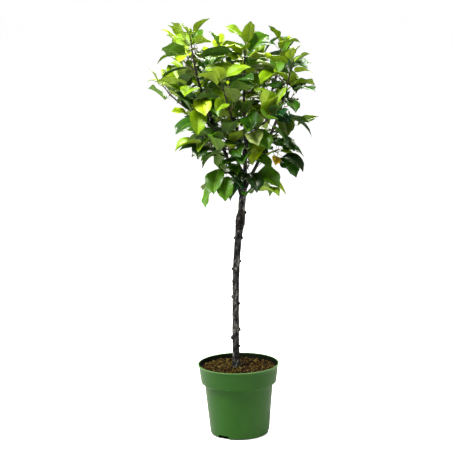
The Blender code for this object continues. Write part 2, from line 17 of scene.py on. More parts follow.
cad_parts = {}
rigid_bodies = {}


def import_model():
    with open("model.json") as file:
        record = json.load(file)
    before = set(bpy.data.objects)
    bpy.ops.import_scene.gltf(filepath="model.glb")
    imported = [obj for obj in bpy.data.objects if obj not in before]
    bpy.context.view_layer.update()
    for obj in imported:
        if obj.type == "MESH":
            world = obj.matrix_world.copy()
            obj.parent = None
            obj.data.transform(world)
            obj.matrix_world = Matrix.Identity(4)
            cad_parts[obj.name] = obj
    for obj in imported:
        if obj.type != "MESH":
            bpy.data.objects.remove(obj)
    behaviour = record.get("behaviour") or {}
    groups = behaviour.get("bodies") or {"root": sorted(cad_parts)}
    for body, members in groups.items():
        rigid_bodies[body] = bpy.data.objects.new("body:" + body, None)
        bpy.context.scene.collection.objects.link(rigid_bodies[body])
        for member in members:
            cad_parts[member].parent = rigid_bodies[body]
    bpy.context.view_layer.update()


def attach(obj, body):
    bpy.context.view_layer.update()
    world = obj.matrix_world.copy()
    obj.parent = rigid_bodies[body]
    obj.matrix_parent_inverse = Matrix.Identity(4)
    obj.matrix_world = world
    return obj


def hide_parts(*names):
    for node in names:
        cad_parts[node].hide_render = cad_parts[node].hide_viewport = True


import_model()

# --- Driving dimensions, in metres ---

UP = Vector((0, 0, 1))
FULL_TURN = 6.283  # radians
GAP = 0.0003  # running gap between solids that meet

POT_HEIGHT = 0.222
RIM_RADIUS = 0.1250
COLLAR_FOOT_RADIUS = 0.1163
COLLAR_HEIGHT = 0.057
SHOULDER_HEIGHT = 0.008
SHOULDER_TOP = POT_HEIGHT - COLLAR_HEIGHT
SHOULDER_FOOT = SHOULDER_TOP - SHOULDER_HEIGHT
BODY_TOP_RADIUS = 0.1055
BODY_FOOT_RADIUS = 0.0907
FOOT_ROUND = 0.009
WALL = 0.0020
LIP = 0.0034  # thickness of the rolled lip on the rim
SLOT_COUNT = 3
SLOT_WIDTH = 0.037
SLOT_HEIGHT = 0.0125
SLOT_DEPTH = 0.016
SLOT_BITE = 0.0105  # how far a slot reaches into the skin of the pot
FOOT_SHADE_HEIGHT = 0.0042  # how high the painted shade runs up the foot
SLOT_AZIMUTH = -124.0  # degrees, of the first drain slot

SOIL_EDGE_Z = 0.2060
SOIL_FLAT_Z = 0.2092  # the level patch that the trunk stands on

# The trunk's centre line and radius: (x, y, z, radius)
TRUNK_LINE = (
    (-0.0064, 0.000, SOIL_FLAT_Z + GAP, 0.0135),
    (-0.0066, 0.000, 0.2300, 0.0104),
    (-0.0064, 0.000, 0.3000, 0.0098),
    (-0.0043, 0.001, 0.4000, 0.0096),
    (-0.0025, 0.000, 0.4800, 0.0095),
    (0.0020, -0.001, 0.5510, 0.0094),
    (0.0080, 0.000, 0.6150, 0.0096),
    (0.0118, 0.000, 0.6460, 0.0112),
    (0.0160, 0.000, 0.6770, 0.0128),
    (0.0190, 0.000, 0.7000, 0.0094),
    (0.0225, 0.000, 0.7340, 0.0094),
    (0.0294, 0.002, 0.7810, 0.0078),
    (0.0335, 0.006, 0.8400, 0.0060),
    (0.0350, 0.009, 0.9000, 0.0047),
    (0.0340, 0.010, 0.9560, 0.0038),
)
TRUNK_RINGS = 28
TRUNK_SIDES = 12

# Stubs of shoots that were pruned off the trunk: (height, azimuth in degrees, radius)
STUBS = (
    (0.271, -20, 0.0026),
    (0.299, -165, 0.0044),
    (0.324, -15, 0.0046),
    (0.350, 120, 0.0028),
    (0.374, -110, 0.0030),
    (0.404, 10, 0.0028),
    (0.426, 175, 0.0032),
    (0.452, 70, 0.0026),
    (0.476, -140, 0.0024),
    (0.514, -175, 0.0032),
    (0.537, -5, 0.0026),
    (0.581, -100, 0.0030),
    (0.609, 165, 0.0028),
    (0.609, 5, 0.0028),
    (0.651, 0, 0.0034),
    (0.686, 15, 0.0034),
)
STUB_STANDOUT = 0.0040  # how far a stub stands out of the bark

# A limb leaves its parent at a share of the parent's length. A heading is (azimuth, lean from upright),
# in degrees, and the limb turns smoothly from its foot's heading to its tip's.
Limb = namedtuple("Limb", "name parent at foot tip length foot_radius tip_radius")

BOUGHS = (
    Limb("bough_left", "trunk", 0.729, (-155, 22), (-143, 25), 0.277, 0.0064, 0.0042),
    Limb("bough_left_outer", "bough_left", 0.790, (131, 60), (161, 58), 0.132, 0.0030, 0.0024),
    Limb("bough_left_top", "bough_left", 0.930, (109, 56), (119, 37), 0.134, 0.0028, 0.0023),
    Limb("bough_left_inner", "trunk", 0.814, (131, 40), (131, 27), 0.165, 0.0046, 0.0030),
    Limb("bough_right", "trunk", 0.759, (-21, 31), (-31, 26), 0.200, 0.0060, 0.0038),
    Limb("bough_right_inner", "trunk", 0.907, (64, 38), (30, 37), 0.152, 0.0038, 0.0028),
    Limb("bough_front_left", "trunk", 0.882, (-107, 42), (-120, 33), 0.168, 0.0036, 0.0026),
    Limb("bough_front_right", "trunk", 0.937, (-69, 57), (-54, 62), 0.123, 0.0032, 0.0024),
    Limb("bough_back_left", "trunk", 0.861, (101, 47), (114, 31), 0.176, 0.0040, 0.0028),
    Limb("bough_back_right", "trunk", 0.960, (74, 46), (70, 38), 0.151, 0.0034, 0.0026),
    Limb("spur_low_left", "bough_left", 0.184, (-150, 92), (-156, 84), 0.029, 0.0022, 0.0018),
    Limb("spur_low_right", "trunk", 0.708, (-50, 42), (-44, 46), 0.050, 0.0024, 0.0018),
    Limb("spur_right_low", "bough_right", 0.590, (-30, 62), (-18, 68), 0.025, 0.0024, 0.0018),
    Limb("spur_right_mid", "bough_right", 0.865, (4, 50), (10, 52), 0.041, 0.0024, 0.0018),
    Limb("spur_left_low", "bough_left", 0.478, (-172, 62), (-166, 64), 0.041, 0.0024, 0.0018),
    Limb("spur_left_mid", "bough_left", 0.860, (-132, 48), (-142, 50), 0.038, 0.0024, 0.0018),
    Limb("spur_left_back", "bough_left_inner", 0.500, (136, 52), (142, 55), 0.037, 0.0022, 0.0018),
    Limb("spur_front_low", "bough_front_left", 0.420, (-134, 84), (-130, 82), 0.050, 0.0022, 0.0018),
    Limb("spur_centre_front", "trunk", 0.968, (-84, 72), (-82, 70), 0.048, 0.0024, 0.0018),
    Limb("spur_centre_low", "trunk", 0.822, (-84, 60), (-80, 64), 0.042, 0.0024, 0.0018),
    Limb("spur_mid_front", "trunk", 0.905, (-136, 62), (-128, 66), 0.046, 0.0024, 0.0018),
    Limb("spur_back_left", "trunk", 0.872, (168, 58), (162, 62), 0.040, 0.0024, 0.0018),
    Limb("spur_back_right", "trunk", 0.892, (50, 57), (46, 60), 0.042, 0.0024, 0.0018),
)
LIMB_RINGS = 5
LIMB_SIDES = 8

# A mass of foliage grows on from the tip of its limb. Its stem turns to the tip's heading, and twigs and
# leaves come off it by a seeded rule. No leaf reaches further than "reach" from the stem. "age" is that of
# the newest leaves: 0 on a shoot that is still growing, and more on a spur in the shade.
Mass = namedtuple("Mass", "name limb tip length reach twigs twig_length age seed")

MASSES = (
    Mass("leaves_left_leader", "bough_left", (-134, 6), 0.242, 0.120, 3, 0.060, 0.00, 234),
    Mass("leaves_left_outer", "bough_left_outer", (164, 38), 0.094, 0.094, 2, 0.046, 0.05, 1580),
    Mass("leaves_left_top", "bough_left_top", (163, 22), 0.162, 0.110, 2, 0.050, 0.05, 1084),
    Mass("leaves_right_leader", "bough_right", (-24, 11), 0.220, 0.120, 3, 0.055, 0.00, 304),
    Mass("leaves_low_left", "spur_low_left", (-151, 80), 0.030, 0.115, 2, 0.026, 0.85, 2131),
    Mass("leaves_low_right", "spur_low_right", (-40, 65), 0.028, 0.110, 2, 0.026, 0.80, 1768),
    Mass("leaves_right_low", "spur_right_low", (-9, 73), 0.034, 0.115, 1, 0.032, 0.90, 308),
    Mass("leaves_right_mid", "spur_right_mid", (14, 65), 0.045, 0.110, 1, 0.036, 0.30, 1965),
    Mass("leaves_left_low", "spur_left_low", (-159, 69), 0.032, 0.110, 1, 0.032, 0.50, 95),
    Mass("leaves_left_mid", "spur_left_mid", (-159, 59), 0.034, 0.110, 1, 0.032, 0.30, 16),
    Mass("leaves_front_low", "spur_front_low", (-120, 58), 0.034, 0.110, 1, 0.032, 0.30, 847),
    Mass("leaves_centre_low", "spur_centre_low", (-74, 66), 0.034, 0.110, 1, 0.032, 0.60, 900),
    Mass("leaves_mid_front", "spur_mid_front", (-112, 60), 0.034, 0.110, 1, 0.032, 0.40, 239),
    Mass("leaves_centre_front", "spur_centre_front", (-74, 52), 0.040, 0.110, 1, 0.036, 0.30, 737),
    Mass("leaves_front_right", "bough_front_right", (-54, 43), 0.070, 0.110, 2, 0.045, 0.15, 562),
    Mass("leaves_front_left", "bough_front_left", (-118, 21), 0.118, 0.110, 2, 0.050, 0.10, 643),
    Mass("leaves_right_inner", "bough_right_inner", (44, 2), 0.204, 0.115, 3, 0.055, 0.00, 324),
    Mass("leaves_centre", "trunk", (-67, 12), 0.250, 0.115, 3, 0.055, 0.05, 89),
    Mass("leaves_left_inner", "bough_left_inner", (10, 16), 0.250, 0.115, 3, 0.055, 0.05, 388),
    Mass("leaves_back_right", "bough_back_right", (65, 15), 0.126, 0.115, 3, 0.055, 0.10, 418),
    Mass("leaves_back_left", "bough_back_left", (94, 9), 0.150, 0.115, 3, 0.055, 0.10, 430),
    Mass("leaves_left_back", "spur_left_back", (149, 63), 0.044, 0.110, 1, 0.036, 0.40, 371),
    Mass("leaves_back_low_left", "spur_back_left", (148, 72), 0.044, 0.110, 1, 0.036, 0.45, 440),
    Mass("leaves_back_low_right", "spur_back_right", (39, 70), 0.044, 0.110, 1, 0.036, 0.45, 759),
)

STEM_RINGS = 5
STEM_SIDES = 6
STEM_TIP_RADIUS = 0.0013
TWIG_SIDES = 3
TWIG_RINGS = 3
TWIG_RADIUS = 0.0017
TWIG_TIP_RADIUS = 0.0011
TWIG_AGE = 0.30  # of the newest leaf on a side twig
TWIG_LEAN = (46, 66)  # degrees
TWIG_LIFT = 0.7  # how much a twig turns upwards

LEAF_LENGTH = 0.085  # of a grown leaf's blade
YOUNG_LEAF_LENGTH = 0.052
LEAF_WIDTH_SHARE = 0.60
LEAF_THICKNESS = 0.0013
PETIOLE_SHARE = 0.34  # of the blade's length
PETIOLE_RADIUS = 0.0009
LEAF_SPACING = 0.023
PHYLLOTAXY = 144.0  # degrees from each leaf to the next one down the shoot
TOP_LEAF = 0.98  # of a shoot's length, where its newest leaf sits
LEAF_RUN = 0.91  # of the length, that bears leaves
CROWDING = 1.35  # more than 1 sets the leaves closer together at the tip
AGEING = 0.8
LEAF_TRIES = (0, 40, -40, 80, -80)  # degrees round the shoot, until a leaf fits
GOLDEN_ANGLE = 137.5  # degrees from each twig to the next one
# Angles of a leaf in degrees: at a shoot's tip, what age adds, and what chance adds or takes away
LEAF_OPENING = (30, 38, 10)
LEAF_PITCH = (54, -56, 26)
LEAF_BEND = (26, 26, 20)
LEAF_ROLL = (0, 0, 32)
LEAF_FOLD = (18, 0, 12)
LEAF_SWING = 25  # degrees, by chance, round the shoot
LEAF_VARIETY = 0.16  # of its length, by chance
MIDRIB_PIECES = 6
STALK_BURIED = 0.2  # of a stalk, that may sit in its own shoot
STALK_CLEAR = 0.8  # of a stalk, from which it clears its own mass's shoots
DRAWS = 7  # by chance, for each leaf
TIP_LEAVES = 2  # extra leaves in the tuft at a shoot's tip
CLEARANCE = 0.0007  # kept between a leaf and whatever is not its own shoot
SPACE_SLACK = 0.020  # how much nearer another mass's stem may be than a leaf's own

# Faces of a leaf's solid. Its corners are the stalk's root (0-2), the joint (3 left, 4 right, 5 under), two
# stations of the blade (6 or 10 left, 7 or 11 right, 8 or 12 on top, 9 or 13 below), and the tip (14).
STALK_FACES = ((0, 2, 1), (0, 1, 4, 3), (1, 2, 5, 4), (2, 0, 3, 5))
UPPER_FACES = ((3, 4, 8), (3, 8, 6), (4, 7, 8), (6, 8, 12), (6, 12, 10), (10, 12, 14), (7, 12, 8))
UPPER_FACES += ((7, 11, 12), (11, 14, 12))
LOWER_FACES = ((3, 6, 5), (5, 6, 9), (4, 5, 7), (5, 9, 7), (6, 13, 9), (6, 10, 13), (10, 14, 13))
LOWER_FACES += ((7, 9, 13), (7, 13, 11), (11, 13, 14))


# --- Curves ---


def direction(azimuth, lean):
    """The unit vector of a heading in degrees."""
    around = radians(azimuth)
    down = radians(lean)
    return Vector((sin(down) * cos(around), sin(down) * sin(around), cos(down)))


def arc(start, foot, tip, length, steps):
    """A smooth line of the given length that turns from one direction to another."""
    points = [Vector(start)]
    for step in range(steps):
        heading = foot.lerp(tip, (step + 0.5) / steps).normalized()
        points.append(points[-1] + heading * (length / steps))
    return points


def along(points, share):
    """The point at a share of a polyline's count of segments, and the direction there."""
    place = min(max(share, 0.0), 1.0) * (len(points) - 1)
    index = min(int(place), len(points) - 2)
    step = points[index + 1] - points[index]
    return points[index] + step * (place - index), step.normalized()


def catmull(knots, share):
    """A smooth curve through knots of any size, at a share of their count."""
    last = len(knots) - 1
    index = min(int(share * last), last - 1)
    t = share * last - index
    a, b, c, d = (Vector(knots[min(max(index + k, 0), last)]) for k in (-1, 0, 1, 2))
    square = (2 * a - 5 * b + 4 * c - d) * t * t
    return 0.5 * (2 * b + (c - a) * t + square + (3 * b - a - 3 * c + d) * t**3)


def smooth_line(knots, count):
    """A smooth line of count points through knots."""
    return [catmull(knots, k / (count - 1)) for k in range(count)]


def smooth_values(values, count):
    """A smooth row of count numbers through values."""
    return [place.x for place in smooth_line([(value, 0, 0) for value in values], count)]


def taper(first, last, count):
    return [first + (last - first) * k / (count - 1) for k in range(count)]


def run_length(points):
    return sum((b - a).length for a, b in zip(points, points[1:]))


def side_vector(axis, azimuth):
    """A unit vector square to axis, at an azimuth in degrees around it."""
    flat = UP.cross(axis)
    if flat.length < 1e-4:
        flat = Vector((1, 0, 0))
    return Matrix.Rotation(radians(azimuth), 3, axis) @ flat.normalized()


def leaning(axis, side, angle):
    """An axis that leans towards one side by an angle in radians."""
    return axis * cos(angle) + side * sin(angle)


def side_line(points, share, azimuth, lean, lift, length, steps):
    """A line that leaves another at a share of it and turns upwards, with the direction of its foot."""
    root, axis = along(points, share)
    foot = leaning(axis, side_vector(axis, azimuth), radians(lean))
    return arc(root, foot, (foot + UP * lift).normalized(), length, steps), foot


def circle(radius, count):
    """Points (x, y) evenly round a circle."""
    turns = [2 * pi * k / count for k in range(count)]
    return [(radius * cos(turn), radius * sin(turn)) for turn in turns]


def ring_faces(rings, sides, start=0):
    """The faces between rings of vertices that follow one another from a start."""
    faces = []
    for ring in range(rings - 1):
        for k in range(sides):
            a = start + ring * sides + k
            b = start + ring * sides + (k + 1) % sides
            faces.append((a, b, b + sides, a + sides))
    return faces


def closed_faces(rings, sides):
    """The faces of rings of vertices, closed by flat ends."""
    last = (rings - 1) * sides
    ends = [tuple(range(sides - 1, -1, -1)), tuple(range(last, last + sides))]
    return ring_faces(rings, sides) + ends


def tube(points, radii, sides):
    """A closed tube along points: (vertices, faces)."""
    vertices = []
    across = None
    for index, point in enumerate(points):
        axis = (points[min(index + 1, len(points) - 1)] - points[max(index - 1, 0)]).normalized()
        across = (across - axis * across.dot(axis)).normalized() if across else side_vector(axis, 0)
        other = axis.cross(across)
        vertices += [point + (across * x + other * y) * radii[index] for x, y in circle(1, sides)]
    return vertices, closed_faces(len(points), sides)


# --- The growth rule ---

Shoot = namedtuple("Shoot", "points radii sides young")
Leaf = namedtuple("Leaf", "root joint heading side pitch bend fold length width")


def blade_half_width(share):
    """The blade's outline: half its width, as a share of the greatest, at a share of its length."""
    return sin(pi * share**0.85) ** 0.70


def leaf_station(leaf, share):
    """A point on the midrib, the directions along it and across it, and the blade's normal there."""
    point = leaf.joint.copy()
    for k in range(MIDRIB_PIECES):
        step = leaning(leaf.heading, UP, leaf.pitch - leaf.bend * share * (k + 0.5) / MIDRIB_PIECES)
        point += step * (leaf.length * share / MIDRIB_PIECES)
    ahead = leaning(leaf.heading, UP, leaf.pitch - leaf.bend * share)
    across = (leaf.side - ahead * leaf.side.dot(ahead)).normalized()
    return point, ahead, across, across.cross(ahead)


def leaf_solid(leaf, extra, stalk_from):
    """A leaf as one closed solid, extra fatter and with its stalk from a share of it: (vertices, faces)."""
    root = leaf.root.lerp(leaf.joint, stalk_from)
    stalk = (leaf.joint - root).normalized()
    across = (leaf.side - stalk * leaf.side.dot(stalk)).normalized()
    up = across.cross(stalk)
    radius = PETIOLE_RADIUS + extra
    corners = [(across * x + up * y) * radius for x, y in ((-0.87, 0.5), (0.87, 0.5), (0, -1.0))]
    vertices = [place + corner for place in (root, leaf.joint) for corner in corners]
    for share in (0.29, 0.68):
        point, _, wide, normal = leaf_station(leaf, share)
        half = leaf.width / 2 * blade_half_width(share) + extra
        edge = wide * (half * cos(leaf.fold))
        rise = normal * (half * sin(leaf.fold))
        thick = normal * (LEAF_THICKNESS / 2 + extra)
        vertices += [point - edge + rise, point + edge + rise, point + thick, point - thick]
    point, ahead, _, _ = leaf_station(leaf, 1.0)
    vertices.append(point + ahead * extra)
    return vertices, STALK_FACES + UPPER_FACES + LOWER_FACES


def leaf_angle(rule, age, draw):
    """An angle of a leaf in radians, by its rule, its age and a draw in -1..1."""
    return radians(rule[0] + rule[1] * age + rule[2] * draw)


def level_heading(stalk, side, least):
    """The way that a stalk heads in plan, or its side where it is too upright to tell."""
    heading = Vector((stalk.x, stalk.y, 0))
    if heading.length < least:
        heading = Vector((side.x, side.y, 0))
    return heading.normalized()


def new_leaf(shoot, share, azimuth, age, draws):
    """A leaf on a shoot. age runs from 0 at a growing tip to 1 on old wood, and draws are in -1..1."""
    root, axis = along(shoot.points, share)
    out = side_vector(axis, azimuth + LEAF_SWING * draws[0])
    stalk = leaning(axis, out, leaf_angle(LEAF_OPENING, age, draws[1]))
    heading = level_heading(stalk, out, 0.2)
    grown = min(1.0, 0.15 + 1.5 * age)
    length = YOUNG_LEAF_LENGTH + (LEAF_LENGTH - YOUNG_LEAF_LENGTH) * grown
    length *= 1 + LEAF_VARIETY * draws[2]
    joint = root + stalk * (length * PETIOLE_SHARE)
    pitch, bend, roll, fold = (
        leaf_angle(rule, age, draw)
        for rule, draw in zip((LEAF_PITCH, LEAF_BEND, LEAF_ROLL, LEAF_FOLD), draws[3:])
    )
    side = Matrix.Rotation(roll, 3, heading) @ heading.cross(UP)
    return Leaf(root, joint, heading, side, pitch, bend, fold, length, length * LEAF_WIDTH_SHARE)


def distance_to(points, place):
    """The least distance from a place to a polyline."""
    least = 1e9
    for first, second in zip(points, points[1:]):
        step = second - first
        share = min(max((place - first).dot(step) / step.length_squared, 0.0), 1.0)
        least = min(least, (first + step * share - place).length)
    return least


def bvh(solid):
    return BVHTree.FromPolygons(solid[0], solid[1])


def touches(solid, placed):
    tree = bvh(solid)
    return any(tree.overlap(other) for other in placed)


def shoot_bvh(shoot):
    return bvh(tube(shoot.points, shoot.radii, shoot.sides))


def leaf_bvh(leaf):
    return bvh(leaf_solid(leaf, 0.0, STALK_BURIED))


def grow_stem(mass, limbs):
    """The mass's own stem, which runs on from its limb's tip and keeps a gap to it."""
    points, radii = limbs[mass.limb]
    ahead = (points[-1] - points[-2]).normalized()
    line = arc(points[-1] + ahead * GAP, ahead, direction(*mass.tip), mass.length, STEM_RINGS)
    return Shoot(line, taper(radii[-1], STEM_TIP_RADIUS, STEM_RINGS + 1), STEM_SIDES, mass.age)


def grow_twigs(mass, stem, rng, placed):
    """Twigs that leave the stem in a spiral, and turn upwards as they run out."""
    twigs = []
    azimuth = rng.uniform(0, 360)
    for index in range(mass.twigs):
        share = 0.12 + 0.66 * (index + 0.5 * rng.random()) / mass.twigs
        azimuth += GOLDEN_ANGLE + rng.uniform(-20, 20)
        lean = rng.uniform(*TWIG_LEAN)
        length = mass.twig_length * (1.15 - 0.5 * share) * rng.uniform(0.85, 1.15)
        line, foot = side_line(stem.points, share, azimuth, lean, TWIG_LIFT, length, TWIG_RINGS)
        clear = [line[0] + foot * (2 * stem.radii[0] + 2 * CLEARANCE)] + line[1:]
        radii = taper(TWIG_RADIUS, TWIG_TIP_RADIUS, TWIG_RINGS + 1)
        if not touches(tube(clear, [r + CLEARANCE for r in radii], TWIG_SIDES), placed):
            twigs.append(Shoot(line, radii, TWIG_SIDES, max(mass.age, TWIG_AGE)))
    return twigs


def leaf_fits(leaf, mass, shoots, stems, placed):
    """True if the leaf keeps to its mass's own space and touches nothing."""
    stations = [leaf_station(leaf, share)[0] for share in (0.0, 0.5, 1.0)]
    own = stems[mass.name].points
    if max(distance_to(own, place) for place in stations) > mass.reach:
        return False
    middle = stations[1]
    near = distance_to(own, middle)
    for name, stem in stems.items():
        if name != mass.name and distance_to(stem.points, middle) < near - SPACE_SLACK:
            return False
    if touches(leaf_solid(leaf, CLEARANCE, STALK_CLEAR), [shoot_bvh(shoot) for shoot in shoots]):
        return False
    return not touches(leaf_solid(leaf, CLEARANCE, STALK_BURIED), placed)


def grow_leaves(mass, shoots, rng, stems, placed):
    """Leaves down each shoot from its tip, one every LEAF_SPACING or so, closer together near the tip."""
    leaves = []
    for shoot in shoots:
        count = round(run_length(shoot.points) / LEAF_SPACING) + TIP_LEAVES
        azimuth = rng.uniform(0, 360)
        for index in range(count):
            share = TOP_LEAF - LEAF_RUN * (index / count) ** CROWDING
            azimuth += PHYLLOTAXY
            age = min(1.0, shoot.young + (1 - shoot.young) * (index / count) ** AGEING)
            draws = [rng.uniform(-1, 1) for _ in range(DRAWS)]
            for turn in LEAF_TRIES:
                leaf = new_leaf(shoot, share, azimuth + turn, age, draws)
                if leaf_fits(leaf, mass, shoots, stems, placed):
                    leaves.append(leaf)
                    placed.append(leaf_bvh(leaf))
                    break
    return leaves


def grow_limbs():
    """The centre line and radii of the trunk and of each bough, by name."""
    line = smooth_line([knot[:3] for knot in TRUNK_LINE], TRUNK_RINGS + 1)
    line[0].z = TRUNK_LINE[0][2]
    limbs = {"trunk": (line, smooth_values([knot[3] for knot in TRUNK_LINE], TRUNK_RINGS + 1))}
    for limb in BOUGHS:
        start, _ = along(limbs[limb.parent][0], limb.at)
        line = arc(start, direction(*limb.foot), direction(*limb.tip), limb.length, LIMB_RINGS)
        limbs[limb.name] = (line, taper(limb.foot_radius, limb.tip_radius, LIMB_RINGS + 1))
    return limbs


def grow_tree():
    """Everything that grows: limbs, and for each mass its stem, twigs and leaves."""
    limbs = grow_limbs()
    sides = {name: LIMB_SIDES for name in limbs}
    sides["trunk"] = TRUNK_SIDES
    placed = [bvh(tube(line, radii, sides[name])) for name, (line, radii) in limbs.items()]
    stems = {mass.name: grow_stem(mass, limbs) for mass in MASSES}
    shoots = {}
    leaves = {}
    for mass in MASSES:
        rng = random.Random(mass.seed)
        others = [shoot_bvh(stem) for name, stem in stems.items() if name != mass.name]
        twigs = grow_twigs(mass, stems[mass.name], rng, placed + others)
        shoots[mass.name] = [stems[mass.name]] + twigs
        taken = placed + others
        leaves[mass.name] = grow_leaves(mass, shoots[mass.name], rng, stems, taken)
        placed += taken[len(placed) + len(others) :]
        placed += [shoot_bvh(twig) for twig in twigs]
    return limbs, shoots, leaves


# --- What the looks add to the solids ---

POT_GREEN = (36, 80, 16)
POT_LIGHT = (42, 87, 21)
POT_DARK = (30, 72, 12)
CHIP_COUNT = 2600
CHIP_SEED = 11
CHIP_CLEARANCE = 0.013  # from the trunk's middle
FIBRE_SHARE = 0.6  # of the chips, that are slim
SOIL_RINGS = 46
SOIL_SIDES = 120
POT_SIDES = 160
SOIL_GAP = 0.0008  # between the compost and the wall
LUMP_SCALE = 60
SWELL_SCALE = 16
LUMP_HEIGHT = 0.0016
# Length, width and thickness, from least to most. A flake's width is a share of its length.
FIBRE_SIZES = ((0.007, 0.019), (0.0009, 0.0019), (0.0007, 0.0014))
FLAKE_SIZES = ((0.004, 0.009), (0.45, 0.8), (0.0010, 0.0026))

BARK_STOPS = ((0.36, (13, 13, 14)), (0.47, (37, 37, 38)), (0.56, (68, 68, 68)), (0.66, (134, 131, 125)))
BARK_VOXEL = 0.0010
SMOOTH_HEIGHT = 0.80  # above which the bark is young and smooth
CRACK_DEPTH = 0.00055
CRACK_SCALE = (260, 260, 120)
UNEVENNESS = 0.00070
UNEVEN_SCALE = (70, 70, 38)
SMOOTH_SHARE = 0.55  # of the relief, that smooth bark has
GRAFT_ROUGHNESS = 2.2
GRAFT_SPREAD = 0.026  # above and below the graft, where the bark is rougher
TRUNK_SKIN = (24, 160)  # sides and rings
LIMB_SKIN = (14, 40)
BARK_SWELL = 0.0011  # how far the loose bark of the trunk stands out of its solid
GRAFT_HEIGHT = 0.672
BLUSH_START = 0.012  # above and below the graft, from where its redder bark fades
BLUSH_END = 0.045
# Scars of the graft: (height, azimuth in degrees, radius)
GRAFT_SCARS = (
    (0.690, -88, 0.0052),
    (0.671, 176, 0.0042),
    (0.668, -6, 0.0038),
    (0.653, -172, 0.0034),
    (0.640, -80, 0.0030),
)
SCAR_SWELL = 1.6
SCAR_RINGS = 7
SCAR_SIDES = 12
STUB_LEAN = 62  # degrees from upright
SCAR_LEAN = 88

FINE_SEED = 5
FINE_SPACING = 0.026  # between finer twigs on old wood
YOUNG_FINE_SPACING = 0.085
BOUGH_FINE_SPACING = 0.050
OLD_AGE = 0.2  # of a mass, from which its wood counts as old
FINE_LENGTH = (0.012, 0.028)
FINE_RADIUS = 0.0010
FINE_LEAN = (50, 75)  # degrees
FINE_LIFT = 0.6
FINE_RINGS = 3
FINE_LEAVES = 2
FINE_TRIES = (0, 50, -50)
FINE_LEAF_SCALE = (0.48, 0.80)
BARE_LEADERS = ("leaves_left_leader", "leaves_right_leader", "leaves_right_inner")
LEADER_CLEARANCE = 0.020
FINE_REACH = 0.190  # how far out from the origin in plan the finer leaves may reach
STALK_RINGS = 15
# Buds: length and width
SHOOT_BUD = (0.006, 0.0017)
FINE_BUD = (0.005, 0.0014)
SIDE_BUD = (0.0042, 0.0011)
BUD_SUNK = 0.0006  # how far an end bud is set into its shoot

LEADER_GIRTH = 1.3  # how much thicker the bark makes the stems than their solids
BLADE_ROWS = 26
BLADE_END = 0.0006  # half the width of a blade at its foot and its tip
BLADE_THICKNESS = 0.00025
BLADE_BREADTH = 1.06
# How blades vary by chance, from least to most
WAVE_COUNT = (0.8, 2.2)
WAVE_HEIGHT = (0.05, 0.20)  # of the half width, as is the bulge
BLADE_BULGE = (0.05, 0.19)
BLADE_TWIST = (-26, 26)  # degrees
BLADE_CURL = (-0.03, 0.08)  # of the length, as is the sway
BLADE_SWAY = (-0.06, 0.06)
FOLD_SPREAD = (0.5, 1.6)  # of the leaf's own fold
TIP_START = 0.80  # of the blade's length, where it narrows to its point
RIB_SHARE = 0.04  # of the half width, that the pale midrib takes up
RIB_SINK = 0.00045  # how deep the midrib lies
BLADE_STEPS = (-1.0, -0.78, -0.45, -RIB_SHARE, 0.0, RIB_SHARE, 0.45, 0.78, 1.0)  # of the half width
TEETH = (0.97, 1.03)  # of the half width, by turns down the edge
RIB_ROWS = 24
RIB_GREEN = (176, 196, 96)
VEIN_PAIRS = 7
VEIN_DEPTH = 0.0016
RIB_RADII = (0.00095, 0.00085, 0.00080, 0.00085, 0.00075, 0.00055, 0.00040, 0.00025)
TIP_TUFT = 4
# The leaves that are still unfolding: opening, pitch and bend in degrees, and length
TIP_OPENING = (14, 34)
TIP_PITCH = (50, 82)
TIP_BEND = (5, 40)
TIP_FOLD = 40
TIP_LENGTH = (0.012, 0.026)
TIP_MOST_AGE = 0.4  # of a mass whose shoot still grows
TINT_SEED = 10
OCHRE_PLACE = (0.128, -0.075, 0.871)  # near the one leaf that has turned
AMBIENT = 0.165
FLOOR_GLOW = 0.86  # of the floor to the camera, so that it reads as white

# Lamps: name, place, height on the Z axis that it faces, size, power, colour
LAMPS = (
    ("key", (-1.5, -1.3, 3.9), 0.9, (1.0, 1.0), 325, (1.0, 0.98, 0.92)),
    ("left", (-3.2, -0.9, 1.1), 0.5, (1.2, 2.4), 64, (1.0, 1.0, 1.0)),
    ("right", (3.2, -0.2, 1.1), 0.5, (1.0, 2.4), 30, (1.0, 0.99, 0.95)),
    ("back", (0.7, 2.6, 2.9), 1.0, (1.6, 1.2), 150, (1.0, 0.99, 0.90)),
)

FLOOR_HALF = 30.0
IMAGE_SIZE = 454
SENSOR = 36.0  # in millimetres
FOCAL_PIXELS = 1538
CAMERA_PLACE = (-0.0259, -4.6, 1.484)
CAMERA_PITCH = 10.29  # degrees below level
CAMERA_ROLL = 1.27


# --- Mesh helpers ---


class Maker:
    """Gathers vertices and faces for one joined piece."""

    def __init__(self):
        self.vertices = []
        self.faces = []
        self.slots = []

    def add(self, vertices, *groups):
        """Add vertices with groups of faces, of which each takes the next material slot."""
        base = len(self.vertices)
        self.vertices.extend(vertices)
        for slot, faces in enumerate(groups):
            self.faces.extend(tuple(base + k for k in face) for face in faces)
            self.slots.extend([slot] * len(faces))

    def build(self, name, materials, smooth_angle=180):
        mesh = bpy.data.meshes.new(name)
        mesh.from_pydata([tuple(v) for v in self.vertices], [], self.faces)
        for surface in materials:
            mesh.materials.append(surface)
        mesh.polygons.foreach_set("material_index", self.slots)
        mesh.shade_smooth()
        mesh.set_sharp_from_angle(angle=radians(smooth_angle))
        return add_object(name, mesh)


def add_object(name, data):
    made = bpy.data.objects.new(name, data)
    bpy.context.scene.collection.objects.link(made)
    return made


def srgb(colour):
    """Linear RGBA of a colour in sRGB bytes."""
    linear = [(c / 255 / 12.92) if c < 11 else ((c / 255 + 0.055) / 1.055) ** 2.4 for c in colour]
    return (*linear, 1.0)


def ride(piece, slot, *nodes):
    """Put a piece on the plant's body and hide the solids that it stands for; slot is not used."""
    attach(piece, "root")
    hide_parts(*nodes)


